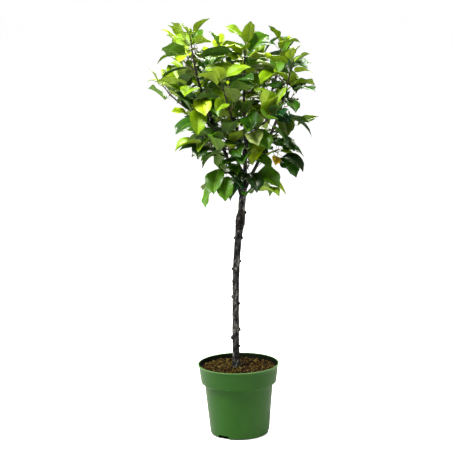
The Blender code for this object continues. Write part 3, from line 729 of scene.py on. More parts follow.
def apply_modifiers(made):
    """Turn an object's modifiers into its own mesh."""
    shape = made.evaluated_get(bpy.context.evaluated_depsgraph_get())
    mesh = bpy.data.meshes.new_from_object(shape)
    made.modifiers.clear()
    made.data = mesh


# --- Materials ---


def new_material(name):
    made = bpy.data.materials.new(name)
    made.use_nodes = True
    tree = made.node_tree
    return made, tree, tree.nodes["Principled BSDF"]


def feed(tree, node, inputs):
    """Give a node its inputs by name or number: each is a value, or the output of another node."""
    for name, value in inputs.items():
        if isinstance(value, bpy.types.NodeSocket):
            tree.links.new(value, node.inputs[name])
        else:
            node.inputs[name].default_value = value
    return node


def add_node(tree, kind, inputs):
    return feed(tree, tree.nodes.new(kind), inputs)


def set_surface(tree, shader, colour, roughness, specular=0.5):
    feed(tree, shader, {"Base Color": colour, "Roughness": roughness, "Specular IOR Level": specular})


def darker(colour, share):
    return tuple(int(c * share) for c in colour)


def math_node(tree, operation, value, other=0.5):
    node = add_node(tree, "ShaderNodeMath", {0: value, 1: other})
    node.operation = operation
    return node.outputs[0]


def own_place(tree):
    """The place of a point in the piece's own coordinates."""
    return add_node(tree, "ShaderNodeTexCoord", {}).outputs["Object"]


def noise_node(tree, scale, detail, roughness, stretch=None):
    """A noise over the piece, stretched if a stretch is given."""
    inputs = {"Scale": scale, "Detail": detail, "Roughness": roughness}
    if stretch:
        mapping = add_node(tree, "ShaderNodeMapping", {"Scale": stretch, "Vector": own_place(tree)})
        inputs["Vector"] = mapping.outputs[0]
    return add_node(tree, "ShaderNodeTexNoise", inputs).outputs["Fac"]


def ramp(tree, value, stops):
    """A colour ramp on a value. stops are (place, colour in sRGB bytes)."""
    node = tree.nodes.new("ShaderNodeValToRGB")
    elements = node.color_ramp.elements
    stops = list(stops)
    while len(elements) < len(stops):
        elements.new(0.5)
    for element, (place, colour) in zip(elements, stops):
        element.position = place
        element.color = srgb(colour)
    tree.links.new(value, node.inputs["Fac"])
    return node.outputs["Color"]


def mix(tree, factor, first, second, blend="MULTIPLY"):
    """A mix of two colours, whose inputs are numbers 6 and 7 and whose output is number 2."""
    node = tree.nodes.new("ShaderNodeMix")
    node.data_type = "RGBA"
    node.blend_type = blend
    return feed(tree, node, {0: factor, 6: first, 7: second}).outputs[2]


def bump(tree, shader, height, strength, distance):
    inputs = {"Strength": strength, "Distance": distance, "Height": height}
    relief = add_node(tree, "ShaderNodeBump", inputs)
    feed(tree, shader, {"Normal": relief.outputs["Normal"]})


def blend_shaders(tree, factor, first, second, out):
    """Send a blend of two shaders to an output node."""
    blend = add_node(tree, "ShaderNodeMixShader", {0: factor, 1: first, 2: second})
    feed(tree, tree.nodes[out], {"Surface": blend.outputs[0]})


def leaf_material(name, through, colour, roughness, glow):
    """A leaf face: mottled, softly glossy, with warmer light coming through it."""
    made, tree, shader = new_material(name)
    broad = noise_node(tree, 22.0, 3.0, 0.55)
    fine = noise_node(tree, 240.0, 3.0, 0.6)
    pale = (min(255, int(colour[0] * 1.10 + 3)), min(255, int(colour[1] * 1.06)), colour[2])
    mottle = ramp(tree, broad, ((0.34, darker(colour, 0.84)), (0.50, colour), (0.68, pale)))
    veins = ramp(tree, fine, ((0.38, (196, 204, 190)), (0.62, (255, 255, 255))))
    set_surface(tree, shader, mix(tree, 0.7, mottle, veins), roughness, 0.52)
    bump(tree, shader, fine, 0.16, 0.0005)
    back = add_node(tree, "ShaderNodeBsdfTranslucent", {"Color": srgb(through)})
    blend_shaders(tree, glow, shader.outputs[0], back.outputs[0], "Material Output")
    return made


def bark_material():
    """Grey-brown bark with pale lenticels and dark cracks, redder round the graft."""
    made, tree, shader = new_material("young_bark")
    patches = ramp(tree, noise_node(tree, 85.0, 5.0, 0.65, (1.0, 1.0, 0.55)), BARK_STOPS)
    cracks = noise_node(tree, 260.0, 3.0, 0.7, (1.0, 1.0, 0.6))
    dark = ramp(tree, cracks, ((0.40, (60, 54, 52)), (0.54, (255, 255, 255))))
    base = mix(tree, 0.85, patches, dark)
    split = add_node(tree, "ShaderNodeSeparateXYZ", {"Vector": own_place(tree)})
    away = math_node(tree, "ABSOLUTE", math_node(tree, "SUBTRACT", split.outputs["Z"], GRAFT_HEIGHT))
    inputs = {"Value": away, "From Min": BLUSH_END, "From Max": BLUSH_START}
    band = add_node(tree, "ShaderNodeMapRange", inputs)
    band.interpolation_type = "SMOOTHSTEP"
    share = math_node(tree, "MULTIPLY", band.outputs["Result"], 0.55)
    red = mix(tree, 0.9, base, srgb((230, 194, 186)))
    set_surface(tree, shader, mix(tree, share, base, red, "MIX"), 0.85, 0.12)
    bump(tree, shader, cracks, 0.55, 0.0012)
    return made


def grained_material(name, grain, stops, gloss, relief):
    """A material with one noise, which makes both its colour and its relief."""
    made, tree, shader = new_material(name)
    fine = noise_node(tree, *grain)
    set_surface(tree, shader, ramp(tree, fine, stops), *gloss)
    bump(tree, shader, fine, *relief)
    return made


def twig_material(name, colour, roughness):
    grain = (300.0, 3.0, 0.6, (1.0, 1.0, 0.5))
    stops = ((0.35, darker(colour, 0.62)), (0.65, colour))
    return grained_material(name, grain, stops, (roughness,), (0.3, 0.0005))


def chip_material(name, colour):
    stops = ((0.35, darker(colour, 0.55)), (0.62, colour))
    return grained_material(name, (380.0, 3.0, 0.6), stops, (0.9, 0.08), (0.5, 0.0006))


def painted_shade_material():
    """Painted shade on the inside of the pot above the compost and on the edge of its foot: dull,
    near-black green.
    """
    stops = ((0.38, (6, 8, 3)), (0.62, (13, 21, 6)))
    return grained_material("painted_shade_plastic", (90.0, 4.0, 0.7), stops, (0.8, 0.08), (0.2, 0.0006))


def pot_material(name, paler=0):
    """Moulded green plastic, a little mottled and dusty; paler lifts the greens for a painted highlight."""
    made, tree, shader = new_material(name)
    greens = [tuple(c + paler for c in colour) for colour in (POT_DARK, POT_GREEN, POT_LIGHT)]
    colour = ramp(tree, noise_node(tree, 7.0, 3.0, 0.5, (1.0, 1.0, 0.6)), zip((0.30, 0.55, 0.75), greens))
    fine = noise_node(tree, 160.0, 3.0, 0.6)
    dust = ramp(tree, fine, ((0.35, (226, 226, 226)), (0.65, (255, 255, 255))))
    set_surface(tree, shader, mix(tree, 0.6, colour, dust), 0.42, 0.15)
    bump(tree, shader, fine, 0.06, 0.0008)
    return made


# --- The pot ---


def rounded(centre, radius, first, last, steps):
    """Points on an arc of a profile, from one angle to another in degrees."""
    turns = [radians(first + (last - first) * k / steps) for k in range(steps + 1)]
    return [(centre[0] + radius * cos(a), centre[1] + radius * sin(a)) for a in turns]


def wall_radius(z):
    """The outer radius of the pot's wall at a height."""
    if z > SHOULDER_TOP:
        share = (z - SHOULDER_TOP) / COLLAR_HEIGHT
        return COLLAR_FOOT_RADIUS + (RIM_RADIUS - LIP / 2 - COLLAR_FOOT_RADIUS) * share
    if z > SHOULDER_FOOT:
        flare = (COLLAR_FOOT_RADIUS - BODY_TOP_RADIUS) * (z - SHOULDER_FOOT) / SHOULDER_HEIGHT
        return BODY_TOP_RADIUS + flare
    return BODY_FOOT_RADIUS + (BODY_TOP_RADIUS - BODY_FOOT_RADIUS) * z / SHOULDER_FOOT


def wall_points(first, last, step):
    """Points up the outside of the wall, between two heights in millimetres."""
    return [(wall_radius(z / 1000), z / 1000) for z in range(first, last, step)]


def pot_profile():
    """The pot's outline from its foot, over the lip and down the inside, as (radius, z)."""
    bend = (wall_radius(FOOT_ROUND) - FOOT_ROUND, FOOT_ROUND)
    lip = (RIM_RADIUS - LIP / 2, POT_HEIGHT - LIP / 2)
    profile = rounded(bend, FOOT_ROUND, -90, 0, 10)
    profile += wall_points(20, int(SHOULDER_FOOT * 1000) - 4, 8)
    profile.append((BODY_TOP_RADIUS - 0.0001, SHOULDER_FOOT - 0.0020))
    profile.append((BODY_TOP_RADIUS + 0.0002, SHOULDER_FOOT))
    profile.append((COLLAR_FOOT_RADIUS - 0.0030, SHOULDER_TOP - 0.0016))
    profile += rounded((COLLAR_FOOT_RADIUS - 0.0012, SHOULDER_TOP + 0.0004), 0.0012, -60, 0, 4)
    profile += wall_points(int(SHOULDER_TOP * 1000) + 4, int(POT_HEIGHT * 1000) - 6, 6)
    profile += rounded(lip, LIP / 2, -50, 180, 12)
    inner = wall_radius(POT_HEIGHT - 2 * LIP) - WALL
    profile += [(min(lip[0] - LIP / 2, inner), POT_HEIGHT - 2 * LIP)]
    profile += [(COLLAR_FOOT_RADIUS - WALL, SHOULDER_TOP), (BODY_TOP_RADIUS - WALL, SHOULDER_FOOT)]
    return profile + rounded(bend, FOOT_ROUND - WALL, 0, -90, 5)


def cut_slots(pot):
    """Cut the drain slots into the foot of the pot."""
    tools = []
    half = SLOT_WIDTH / 2
    box = [(x * SLOT_BITE, y * half, z * SLOT_HEIGHT) for x in (-1, 1) for y in (-1, 1) for z in (-1, 1)]
    sides = [(0, 1, 3, 2), (4, 6, 7, 5), (0, 4, 5, 1), (2, 3, 7, 6), (0, 2, 6, 4), (1, 5, 7, 3)]
    for index in range(SLOT_COUNT):
        azimuth = radians(SLOT_AZIMUTH + 360 * index / SLOT_COUNT)
        cutter = Maker()
        cutter.add(box, sides)
        tool = cutter.build(f"slot_tool_{index + 1}", [], 60)
        soften = tool.modifiers.new("round_corners", "BEVEL")
        soften.width = 0.003
        soften.segments = 3
        tool.rotation_euler = (0, 0, azimuth)
        tool.location = (BODY_FOOT_RADIUS * cos(azimuth), BODY_FOOT_RADIUS * sin(azimuth), 0)
        cut = pot.modifiers.new(tool.name, "BOOLEAN")
        cut.object = tool
        cut.operation = "DIFFERENCE"
        cut.solver = "EXACT"
        tools.append(tool)
    apply_modifiers(pot)
    for tool in tools:
        bpy.data.objects.remove(tool)


def make_pot():
    """The pot: rounded foot, tapered body, moulded shoulder line, flared collar and rolled lip."""
    maker = Maker()
    profile = pot_profile()
    vertices = [(x, y, z) for radius, z in profile for x, y in circle(radius, POT_SIDES)]
    maker.add(vertices, closed_faces(len(profile), POT_SIDES))
    surfaces = [pot_material("pot_plastic"), painted_shade_material(), pot_material("lip_painted_highlight", 44)]
    pot = maker.build("pot_skin", surfaces, 40)
    for face in pot.data.polygons:
        middle = face.center
        # The inside of the wall and the edge of the foot take the painted shade.
        inside = middle.z < POT_HEIGHT - LIP and face.normal.x * middle.x + face.normal.y * middle.y < 0
        if inside or middle.z < FOOT_SHADE_HEIGHT:
            face.material_index = 1
        # The top of the lip takes the paler green of the painted highlight.
        elif middle.z > POT_HEIGHT - LIP * 0.75:
            face.material_index = 2
    cut_slots(pot)
    pot.data.shade_smooth()
    pot.data.set_sharp_from_angle(angle=radians(38))
    ride(pot, "green_plastic", "pot")


# --- The compost ---

# Kinds of chip and fibre in the compost: name, colour, share
CHIP_COLOURS = (
    ("chips_brown", (58, 41, 13), 5),
    ("chips_ochre", (96, 76, 20), 6),
    ("chips_umber", (30, 21, 7), 5),
    ("chips_red", (78, 36, 12), 2),
    ("chips_dark", (9, 6, 3), 6),
    ("chips_pale", (134, 113, 48), 2),
)


def soil_height(x, y):
    """The height of the compost's surface: heaped a little round the trunk, and lumpy."""
    radius = hypot(x, y)
    edge = wall_radius(SOIL_EDGE_Z) - WALL - 0.001
    rise = (SOIL_FLAT_Z - SOIL_EDGE_Z) * (1 - min(radius / edge, 1.0))
    lumps = noise.fractal(Vector((x * LUMP_SCALE, y * LUMP_SCALE, 3.0)), 1.0, 2.0, 3) * LUMP_HEIGHT
    swell = noise.noise(Vector((x * SWELL_SCALE, y * SWELL_SCALE, 9.0))) * LUMP_HEIGHT
    return SOIL_EDGE_Z + rise + lumps + swell


def make_soil():
    """The compost: a lumpy surface and sides, strewn with bark chips and fibres."""
    edge = wall_radius(SOIL_EDGE_Z) - WALL - SOIL_GAP
    inset = WALL + SOIL_GAP
    side = (
        (edge, SOIL_EDGE_Z - 0.003),
        (COLLAR_FOOT_RADIUS - inset, SHOULDER_TOP + 0.0005),
        (BODY_TOP_RADIUS - inset, SHOULDER_FOOT + 0.0005),
        (wall_radius(0.018) - inset, 0.018),
        (BODY_FOOT_RADIUS - SLOT_DEPTH - 0.002, WALL + 0.0004),
    )
    vertices = [(0, 0, soil_height(0, 0))]
    for ring in range(1, SOIL_RINGS + 1):
        vertices += [(x, y, soil_height(x, y)) for x, y in circle(edge * ring / SOIL_RINGS, SOIL_SIDES)]
    vertices += [(x, y, z) for radius, z in side for x, y in circle(radius, SOIL_SIDES)]
    faces = [(0, 1 + k, 1 + (k + 1) % SOIL_SIDES) for k in range(SOIL_SIDES)]
    faces += [(a, d, c, b) for a, b, c, d in ring_faces(SOIL_RINGS + len(side), SOIL_SIDES, 1)]
    faces.append(tuple(range(len(vertices) - 1, len(vertices) - 1 - SOIL_SIDES, -1)))
    maker = Maker()
    maker.add(vertices, faces)
    ride(maker.build("compost_bed", [chip_material("compost_earth", (30, 21, 12))]), "compost", "soil")
    strew_chips(edge)


def strew_chips(edge):
    """Chips and slim fibres by chance all over the compost, but not on the trunk."""
    rng = random.Random(CHIP_SEED)
    names = [name for name, _, weight in CHIP_COLOURS for _ in range(weight)]
    makers = {name: Maker() for name, _, _ in CHIP_COLOURS}
    for _ in range(CHIP_COUNT):
        radius = (edge - 0.003) * sqrt(rng.random())
        if radius < CHIP_CLEARANCE:
            continue
        turn = rng.uniform(0, 2 * pi)
        x, y = radius * cos(turn), radius * sin(turn)
        slim = rng.random() < FIBRE_SHARE
        lengths, widths, thicknesses = FIBRE_SIZES if slim else FLAKE_SIZES
        long = rng.uniform(*lengths)
        wide = rng.uniform(*widths) * (1 if slim else long)
        thick = rng.uniform(*thicknesses)
        if hypot(x, y) + long / 2 > edge - 0.0005:
            continue
        spin = Matrix.Rotation(rng.uniform(0, FULL_TURN), 3, "Z")
        tip = Matrix.Rotation(rng.gauss(0, 0.4), 3, "X") @ Matrix.Rotation(rng.gauss(0, 0.35), 3, "Y")
        centre = Vector((x, y, soil_height(x, y) + thick * 0.25 + rng.uniform(0, 0.0016)))
        makers[rng.choice(names)].add(*chip(rng, centre, spin @ tip, (long, wide, thick)))
    for name, colour, _ in CHIP_COLOURS:
        ride(makers[name].build(name, [chip_material(f"{name}_skin", colour)], 30), "compost", "soil")


def chip(rng, centre, turn, size):
    """An irregular flake with twelve corners and blunt ends."""
    vertices = []
    for z in (-0.5, 0.5):
        for x, y in ((-0.5, -0.3), (-0.1, -0.5), (0.4, -0.4), (0.5, 0.2), (0.1, 0.5), (-0.4, 0.4)):
            jitter = (rng.uniform(0.8, 1.2), rng.uniform(0.75, 1.25), rng.uniform(0.7, 1.3))
            corner = Vector([share * full * uneven for share, full, uneven in zip((x, y, z), size, jitter)])
            vertices.append(centre + turn @ corner)
    return vertices, [(5, 4, 3, 2, 1, 0), (6, 7, 8, 9, 10, 11)] + ring_faces(2, 6)


# --- Bark ---


def limb_tube(points, radii, sides, rings, collar=0.0, collar_length=0.02):
    """A smooth tube along a limb, with its foot widened to a branch collar."""
    line = smooth_line(points, rings)
    girth = smooth_values(radii, rings)
    gone = 0.0
    for k in range(rings):
        if k:
            gone += (line[k] - line[k - 1]).length
        girth[k] += collar * max(0.0, 1 - gone / collar_length) ** 2
    return tube(line, girth, sides)


def on_trunk(trunk, height, azimuth, lean):
    """The trunk's middle at a height, a direction from it, and how far its surface is that way."""
    line, girth = trunk
    ring = min(range(len(line)), key=lambda k: abs(line[k].z - height))
    foot = line[ring] + UP * (height - line[ring].z)
    return foot, direction(azimuth, lean), girth[ring] / sin(radians(lean))


def make_bark(limbs):
    """One skin for the trunk and boughs, with collars at the forks, stubs, cracks and lenticels."""
    maker = Maker()
    maker.add(*limb_tube(*limbs["trunk"], *TRUNK_SKIN))
    for limb in BOUGHS:
        collar = 0.45 * limb.foot_radius
        maker.add(*limb_tube(*limbs[limb.name], *LIMB_SKIN, collar, 0.012 + 3 * limb.foot_radius))
    for height, azimuth, radius in STUBS:
        foot, around, reach = on_trunk(limbs["trunk"], height, azimuth, STUB_LEAN)
        path = [foot + around * (reach + STUB_STANDOUT) * share for share in (0, 0.6, 0.85, 1)]
        maker.add(*tube(path, [radius * swell for swell in (1.7, 1.5, 1.2, 0.8)], 10))
    skin = maker.build("bark_skin", [bark_material()])
    remesh = skin.modifiers.new("skin", "REMESH")
    remesh.mode = "VOXEL"
    remesh.voxel_size = BARK_VOXEL
    soften = skin.modifiers.new("soften", "SMOOTH")
    soften.factor = 0.5
    soften.iterations = 4
    apply_modifiers(skin)
    mesh = skin.data
    mesh.update()
    normals = [vertex.normal.copy() for vertex in mesh.vertices]
    for vertex, normal in zip(mesh.vertices, normals):
        z = vertex.co.z
        share, swell = (1.0, BARK_SWELL) if z < SMOOTH_HEIGHT else (SMOOTH_SHARE, 0.0)
        cracks = noise.fractal(vertex.co * Vector(CRACK_SCALE), 0.9, 2.1, 3)
        broad = noise.noise(vertex.co * Vector(UNEVEN_SCALE))
        rough = 1.0 + GRAFT_ROUGHNESS * exp(-(((z - GRAFT_HEIGHT) / GRAFT_SPREAD) ** 2))
        vertex.co += normal * (swell + share * rough * (CRACK_DEPTH * cracks + UNEVENNESS * broad))
    mesh.shade_smooth()
    ride(skin, "bark", "trunk", *[limb.name for limb in BOUGHS])
    make_scars(limbs["trunk"])


def make_scars(trunk):
    """The dark healed ends of the pruned stubs, and the scars of the graft."""
    maker = Maker()
    for number, (height, azimuth, radius) in enumerate(STUBS + GRAFT_SCARS):
        stub = number < len(STUBS)
        foot, around, reach = on_trunk(trunk, height, azimuth, STUB_LEAN if stub else SCAR_LEAN)
        reach += STUB_STANDOUT if stub else 0.0004
        reach -= 0.0008
        across = side_vector(around, 0)
        other = around.cross(across)
        vertices = []
        for row in range(SCAR_RINGS + 1):
            share = row / SCAR_RINGS
            bulge = sin(pi * (0.18 + 0.82 * share)) ** 0.6 if row < SCAR_RINGS else 0.0
            rise = around * (radius * (1.5 * share - 0.7) * (0.75 if stub else 0.45))
            for k, (x, y) in enumerate(circle(1, SCAR_SIDES)):
                lump = 1 + 0.22 * noise.noise(Vector((k * 0.9, row * 0.8, height * 40)))
                spot = (across * x + other * y) * (radius * SCAR_SWELL * bulge * lump)
                vertices.append(foot + around * reach + rise + spot)
        maker.add(vertices, ring_faces(SCAR_RINGS + 1, SCAR_SIDES))
    ride(maker.build("pruning_scars", [twig_material("scar_wood", (40, 32, 29), 0.85)]), "bark", "trunk")


# --- Foliage ---

# Tints of the leaves: name, upper face, lower face, light that comes through, gloss roughness
TINTS = (
    ("lime", (174, 202, 8), (158, 188, 34), (202, 224, 4), 0.44),
    ("spring", (136, 176, 4), (142, 170, 28), (190, 220, 2), 0.42),
    ("mid", (82, 134, 2), (98, 136, 28), (132, 192, 2), 0.40),
    ("deep", (44, 93, 2), (76, 112, 27), (90, 160, 2), 0.37),
    ("forest", (23, 56, 4), (60, 95, 26), (54, 122, 2), 0.34),
    # The bluish cast of the blue tint is a painted reflection of the sky on glossy leaves; its low
    # roughness adds real gloss as well.
    ("blue", (22, 72, 34), (70, 108, 52), (64, 136, 24), 0.27),
    ("olive", (86, 112, 5), (98, 122, 31), (144, 178, 4), 0.44),
    ("ochre", (236, 198, 24), (214, 186, 50), (246, 218, 24), 0.48),
    ("downy", (168, 188, 104), (186, 202, 138), (196, 214, 110), 0.55),
)
# How often each tint falls on a leaf, from low in the crown to its top: (height, weights of the tints). The
# shift from dark to pale tints with height is partly the leaves' own colour, young and pale high on the
# shoots, and partly painted light: pale tints high up where the light falls, deep and forest greens low and
# inside the crown as painted shade.
TINT_BANDS = (
    (0.70, (0.04, 0.12, 0.26, 0.28, 0.14, 0.09, 0.07, 0.00, 0.00)),
    (0.90, (0.05, 0.13, 0.26, 0.28, 0.15, 0.08, 0.06, 0.00, 0.01)),
    (1.03, (0.14, 0.21, 0.26, 0.23, 0.10, 0.03, 0.03, 0.00, 0.03)),
    (1.16, (0.36, 0.31, 0.18, 0.08, 0.01, 0.00, 0.01, 0.00, 0.05)),
    (1.40, (0.42, 0.28, 0.14, 0.06, 0.01, 0.00, 0.00, 0.00, 0.09)),
)


def choose_tint(rng, height, age):
    """A tint for a leaf, by its height and its age; the height brings in painted light at the top of the
    crown and painted shade below.
    """
    reach = height + 0.10 * (0.45 - age)
    for (low, first), (high, second) in zip(TINT_BANDS, TINT_BANDS[1:]):
        if reach <= high:
            break
    share = min(max((reach - low) / (high - low), 0.0), 1.0)
    weights = [a + (b - a) * share for a, b in zip(first, second)]
    return rng.choices([name for name, *_ in TINTS], weights)[0]


def blade_outline(share):
    """Half a blade's width, as a share of the greatest: broad, with a rounded foot and a short tip."""
    point = max(0.0, (share - TIP_START) / (1 - TIP_START))
    return sin(pi * share**0.90) ** 0.60 * (1 - 0.50 * point * (2 - point))


def blade(leaf, rng):
    """A leaf's blade as a closed thin shape: (vertices, upper faces, lower faces, midrib faces)."""
    wave_count = rng.uniform(*WAVE_COUNT)
    wave_phase = rng.uniform(0, FULL_TURN)
    wave = rng.uniform(*WAVE_HEIGHT)
    twist = radians(rng.uniform(*BLADE_TWIST))
    curl = rng.uniform(*BLADE_CURL)
    sway = rng.uniform(*BLADE_SWAY)
    bulge = rng.uniform(*BLADE_BULGE)
    folds = [leaf.fold * rng.uniform(*FOLD_SPREAD) for _ in range(2)]
    upper = []
    lower = []
    for row in range(BLADE_ROWS + 1):
        share = row / BLADE_ROWS
        point, ahead, wide, normal = leaf_station(leaf, share)
        turn = Matrix.Rotation(twist * (share - 0.35), 3, ahead)
        wide = turn @ wide
        normal = turn @ normal
        point -= normal * (leaf.length * curl * share**3)
        point += wide * (leaf.length * sway * share * share)
        inner_row = 0 < row < BLADE_ROWS
        half = leaf.width / 2 * BLADE_BREADTH * blade_outline(share) if inner_row else BLADE_END
        tooth = TEETH[row % 2] if 1 < row < BLADE_ROWS - 2 else 1.0
        for step in BLADE_STEPS:
            size = abs(step)
            fold = folds[0] if step < 0 else folds[1]
            out = half * step * (tooth if size == 1.0 else 1.0)
            rise = half * size * sin(fold) + half * bulge * sin(pi * size)
            ripple = sin(wave_phase + wave_count * FULL_TURN * share + (2.1 if step > 0 else 0))
            edge = half * wave * size * size * ripple
            vein = 0.5 + 0.5 * cos(FULL_TURN * (VEIN_PAIRS * (share - 0.30 * size)))
            sink = RIB_SINK if size <= RIB_SHARE else VEIN_DEPTH * vein**3 * (1 - size**3)
            place = point + wide * (out * cos(fold)) + normal * (rise + edge - sink)
            upper.append(place)
            lower.append(place - normal * (BLADE_THICKNESS if size < 1.0 else 0.0))
    top = []
    under = []
    rib = []
    columns = len(BLADE_STEPS)
    shift = len(upper)
    for row in range(BLADE_ROWS):
        for k in range(columns - 1):
            a = row * columns + k
            b = a + columns
            beside_midrib = k in (columns // 2 - 1, columns // 2) and row < RIB_ROWS
            (rib if beside_midrib else top).append((a, a + 1, b + 1, b))
            under.append((shift + a, shift + b, shift + b + 1, shift + a + 1))
    return upper + lower, top, under, rib


def stalk(leaf):
    """The petiole, which runs on below the blade as its midrib."""
    sag = (leaf.joint - leaf.root).length * 0.06
    line = [leaf.root]
    for share in (0.33, 0.66):
        line.append(leaf.root.lerp(leaf.joint, share) - UP * (sag * sin(pi * share)))
    line.append(leaf.joint)
    for share in (0.10, 0.30, 0.55, 0.80):
        point, _, _, normal = leaf_station(leaf, share)
        line.append(point - normal * 0.0007)
    return tube(smooth_line(line, STALK_RINGS), smooth_values(RIB_RADII, STALK_RINGS), 5)


def bud(place, heading, length, width):
    """A small pointed bud."""
    line = [place + heading * length * share for share in (0, 0.35, 0.75, 1)]
    return tube(line, [width * share for share in (0.8, 1, 0.6, 0.12)], 6)


def end_bud(shoot, size):
    """The bud at the end of a shoot."""
    end, axis = along(shoot.points, 1.0)
    return bud(end - axis * BUD_SUNK, axis, *size)


def tip_leaves(shoot, rng):
    """The tiny leaves that are still unfolding at the end of a growing shoot."""
    made = []
    for index in range(TIP_TUFT):
        root, axis = along(shoot.points, 0.995 - 0.004 * index)
        out = side_vector(axis, rng.uniform(0, 360) + GOLDEN_ANGLE * index)
        stem = leaning(axis, out, radians(rng.uniform(*TIP_OPENING)))
        heading = level_heading(stem, out, 0.05)
        length = rng.uniform(*TIP_LENGTH)
        joint = root + stem * (length * 0.30)
        pitch = radians(rng.uniform(*TIP_PITCH))
        bend = radians(rng.uniform(*TIP_BEND))
        fold = radians(TIP_FOLD)
        made.append(Leaf(root, joint, heading, heading.cross(UP), pitch, bend, fold, length, length * 0.42))
    return made


def hides_a_leader(leaf, stems):
    """True if a leaf stands right in front of one of the bare leaders that show at the front."""
    middle = leaf_station(leaf, 0.4)[0]
    flat = Vector((middle.x, 0, middle.z))
    for name in BARE_LEADERS:
        points = stems[name].points
        line = [Vector((point.x, 0, point.z)) for point in points]
        if distance_to(line, flat) < LEADER_CLEARANCE and middle.y < max(point.y for point in points):
            return True
    return False


def fine_carriers(limbs, shoots):
    """What bears finer twigs: (points, mass, spacing, share of the length to start from)."""
    carriers = []
    for mass in MASSES:
        spacing = FINE_SPACING if mass.age > OLD_AGE else YOUNG_FINE_SPACING
        carriers += [(shoot.points, mass, spacing, 0.06) for shoot in shoots[mass.name]]
    masses = {mass.limb: mass for mass in MASSES}
    for limb in BOUGHS:
        if limb.name.startswith("bough"):
            carriers.append((limbs[limb.name][0], masses[limb.name], BOUGH_FINE_SPACING, 0.30))
    return carriers


def grow_fine(limbs, shoots, leaves):
    """Finer twigs with smaller leaves on shoots and boughs, in the masses' own spaces: (twigs, leaves)."""
    stems = {name: group[0] for name, group in shoots.items()}
    placed = [bvh(tube(line, radii, LIMB_SIDES)) for line, radii in limbs.values()]
    placed += [leaf_bvh(leaf) for group in leaves.values() for leaf in group]
    rng = random.Random(FINE_SEED)
    fine_twigs = []
    fine_leaves = []
    for points, mass, spacing, first in fine_carriers(limbs, shoots):
        count = max(1, round(run_length(points) / spacing))
        azimuth = rng.uniform(0, 360)
        for index in range(count):
            share = first + (0.86 - first) * (index + rng.random()) / count
            azimuth += GOLDEN_ANGLE
            lean = rng.uniform(*FINE_LEAN)
            length = rng.uniform(*FINE_LENGTH)
            line, _ = side_line(points, share, azimuth, lean, FINE_LIFT, length, FINE_RINGS)
            twig = Shoot(line, taper(FINE_RADIUS, FINE_RADIUS * 0.7, FINE_RINGS + 1), 5, 0.4)
            grown = fine_leaves_on(twig, mass, rng, stems, placed)
            if grown:
                fine_twigs.append(twig)
                fine_leaves += grown
    return fine_twigs, fine_leaves


def fine_leaves_on(twig, mass, rng, stems, placed):
    """The leaves of one finer twig that find room."""
    grown = []
    around = rng.uniform(0, 360)
    near = {mass.name: stems[mass.name]}
    for step in range(FINE_LEAVES):
        around += GOLDEN_ANGLE
        draws = [rng.uniform(-1, 1) for _ in range(DRAWS)]
        age = min(1.0, max(mass.age, 0.2) + 0.25 * step)
        size = rng.uniform(*FINE_LEAF_SCALE)
        for turn in FINE_TRIES:
            leaf = new_leaf(twig, 0.97 - 0.25 * step, around + turn, age, draws)
            joint = leaf.root.lerp(leaf.joint, size)
            leaf = leaf._replace(joint=joint, length=leaf.length * size, width=leaf.width * size)
            tip = leaf_station(leaf, 1.0)[0]
            inside = hypot(tip.x, tip.y) < FINE_REACH
            if inside and leaf_fits(leaf, mass, [], near, placed) and not hides_a_leader(leaf, stems):
                grown.append(leaf)
                placed.append(leaf_bvh(leaf))
                break
    return grown


